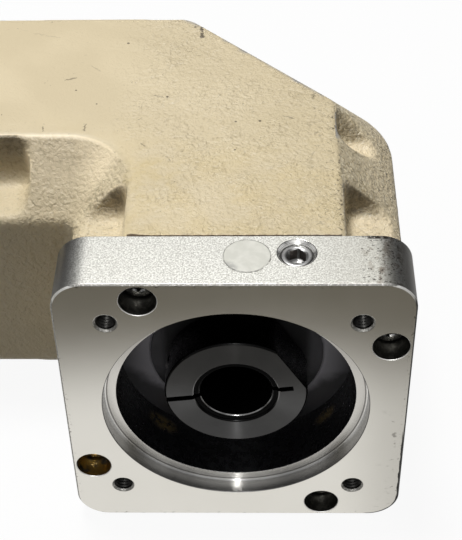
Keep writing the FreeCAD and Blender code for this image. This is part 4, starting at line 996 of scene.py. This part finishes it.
def ray_kinds(tree):
    """Whether a ray comes from the camera, off a gleam or through glass, as three wires."""
    kinds = ("Is Camera Ray", "Is Glossy Ray", "Is Transmission Ray")
    return [Wire(tree).node("LightPath", {}, {}, kind) for kind in kinds]


floor_half = 2.0
floor_corners = [(-floor_half, -floor_half, 0), (floor_half, -floor_half, 0),
                 (floor_half, floor_half, 0), (-floor_half, floor_half, 0)]
floor_mesh = bpy.data.meshes.new("floor")
floor_mesh.from_pydata(floor_corners, [], [(0, 1, 2, 3)])
floor = bpy.data.objects.new("floor", floor_mesh)
floor.location.z = cad_box[0][2] - 0.0002
bpy.context.collection.objects.link(floor)
floor_paper = bpy.data.materials.new("pale_paper")
floor_paper.use_nodes = True
floor_paper.node_tree.nodes.clear()
camera_ray, glossy_ray, through_ray = ray_kinds(floor_paper.node_tree)
across, along, _ = split(camera_ray.node("TexCoord", {}, {}, "Object"))
near_plate = (along - abs(across) * 0.1).rise(-0.085, -0.040)
near_plate = near_plate * (1 - 0.35 * across.rise(0.026, 0.05))
far_floor = along.rise(-0.22, -0.40)
seen = near_plate.most(far_floor).blend((0.168, 0.155, 0.128), (0.95, 0.94, 0.92))
seen = glossy_ray.blend((1.0, 1.0, 1.0), seen)
glow = seen.node("Emission", {}, {"Color": seen, "Strength": 1.0})
paper = camera_ray.blend((0.12, 0.12, 0.117), (0.80, 0.80, 0.79))
paper = paper.node("BsdfDiffuse", {}, {"Color": paper})
share = camera_ray * 0.93 + glossy_ray + through_ray
mixed = share.node("MixShader", {}, {0: share, 1: paper, 2: glow})
mixed.node("OutputMaterial", {}, {"Surface": mixed})
floor_mesh.materials.append(floor_paper)

world = bpy.data.worlds.new("studio")
bpy.context.scene.world = world
world.use_nodes = True
world.node_tree.nodes.clear()
camera_ray, glossy_ray, through_ray = ray_kinds(world.node_tree)
direction = camera_ray.node("TexCoord", {}, {}, "Generated")
aside, ahead, above = split(direction)
overhead = above.rise(0.30, 0.62) * ahead.rise(-0.5, 0.2)
overhead = overhead * aside.rise(0.50, 0.05) * aside.rise(-0.62, -0.05)
screens = abs(aside).rise(0.72, 0.84) + abs(aside).rise(0.50, 0.66) * ahead.rise(-0.25, -0.45)
screens = screens * above.rise(0.04, 0.22)
toward = direction.vector("DOT_PRODUCT", direction, (0.0, -0.73, 0.68), output="Value")
window = toward.rise(0.70, 0.95)
glossy = (overhead + window + screens * 0.8).blend((0.07, 0.07, 0.075), (0.86, 0.86, 0.86))
glossy = glossy_ray.blend((1.0, 1.0, 1.0), glossy)
tone = (camera_ray + glossy_ray + through_ray).blend((0.112, 0.112, 0.114), glossy)
sky = tone.node("Background", {}, {"Color": tone, "Strength": 1.0})
sky.node("OutputWorld", {}, {"Surface": sky})


def soft_lamp(name, at, target, size, power):
    """A round lamp of that size in metres and power in watts, turned to its target."""
    lamp = bpy.data.objects.new(name, bpy.data.lights.new(name, "AREA"))
    lamp.data.shape = "DISK"
    lamp.data.size = size
    lamp.data.energy = power
    lamp.location = at
    lamp.rotation_euler = (Vector(target) - Vector(at)).to_track_quat("-Z", "Y").to_euler()
    bpy.context.collection.objects.link(lamp)
    return lamp


soft_lamp("key_lamp", (-0.12, 0.15, 0.95), (0.0, 0.06, 0.02), 0.22, 7.9)
soft_lamp("left_lamp", (-0.95, 0.0, 0.75), (0.0, 0.05, 0.0), 1.0, 3.2).visible_glossy = False
soft_lamp("gleam_lamp", (-0.01, -0.50, 0.47), (0.0, 0.0, -0.02), 0.02, 1.2).visible_diffuse = False

camera = bpy.data.objects.new("camera", bpy.data.cameras.new("camera"))
camera.data.lens = 91.664
camera.data.sensor_width = 36.0
camera.data.clip_start = 0.01
camera_angles = (1.884, 90 - 42.974, -1.391)
camera_turn, camera_dip, camera_roll = (math.radians(angle) for angle in camera_angles)
turn = Matrix.Rotation(camera_turn, 4, "Z") @ Matrix.Rotation(camera_dip, 4, "X")
turn = turn @ Matrix.Rotation(camera_roll, 4, "Z")
camera.matrix_world = Matrix.Translation((0.00749, -0.23894, 0.27258)) @ turn
bpy.context.collection.objects.link(camera)
bpy.context.scene.camera = camera
bpy.context.scene.view_settings.view_transform = "Standard"
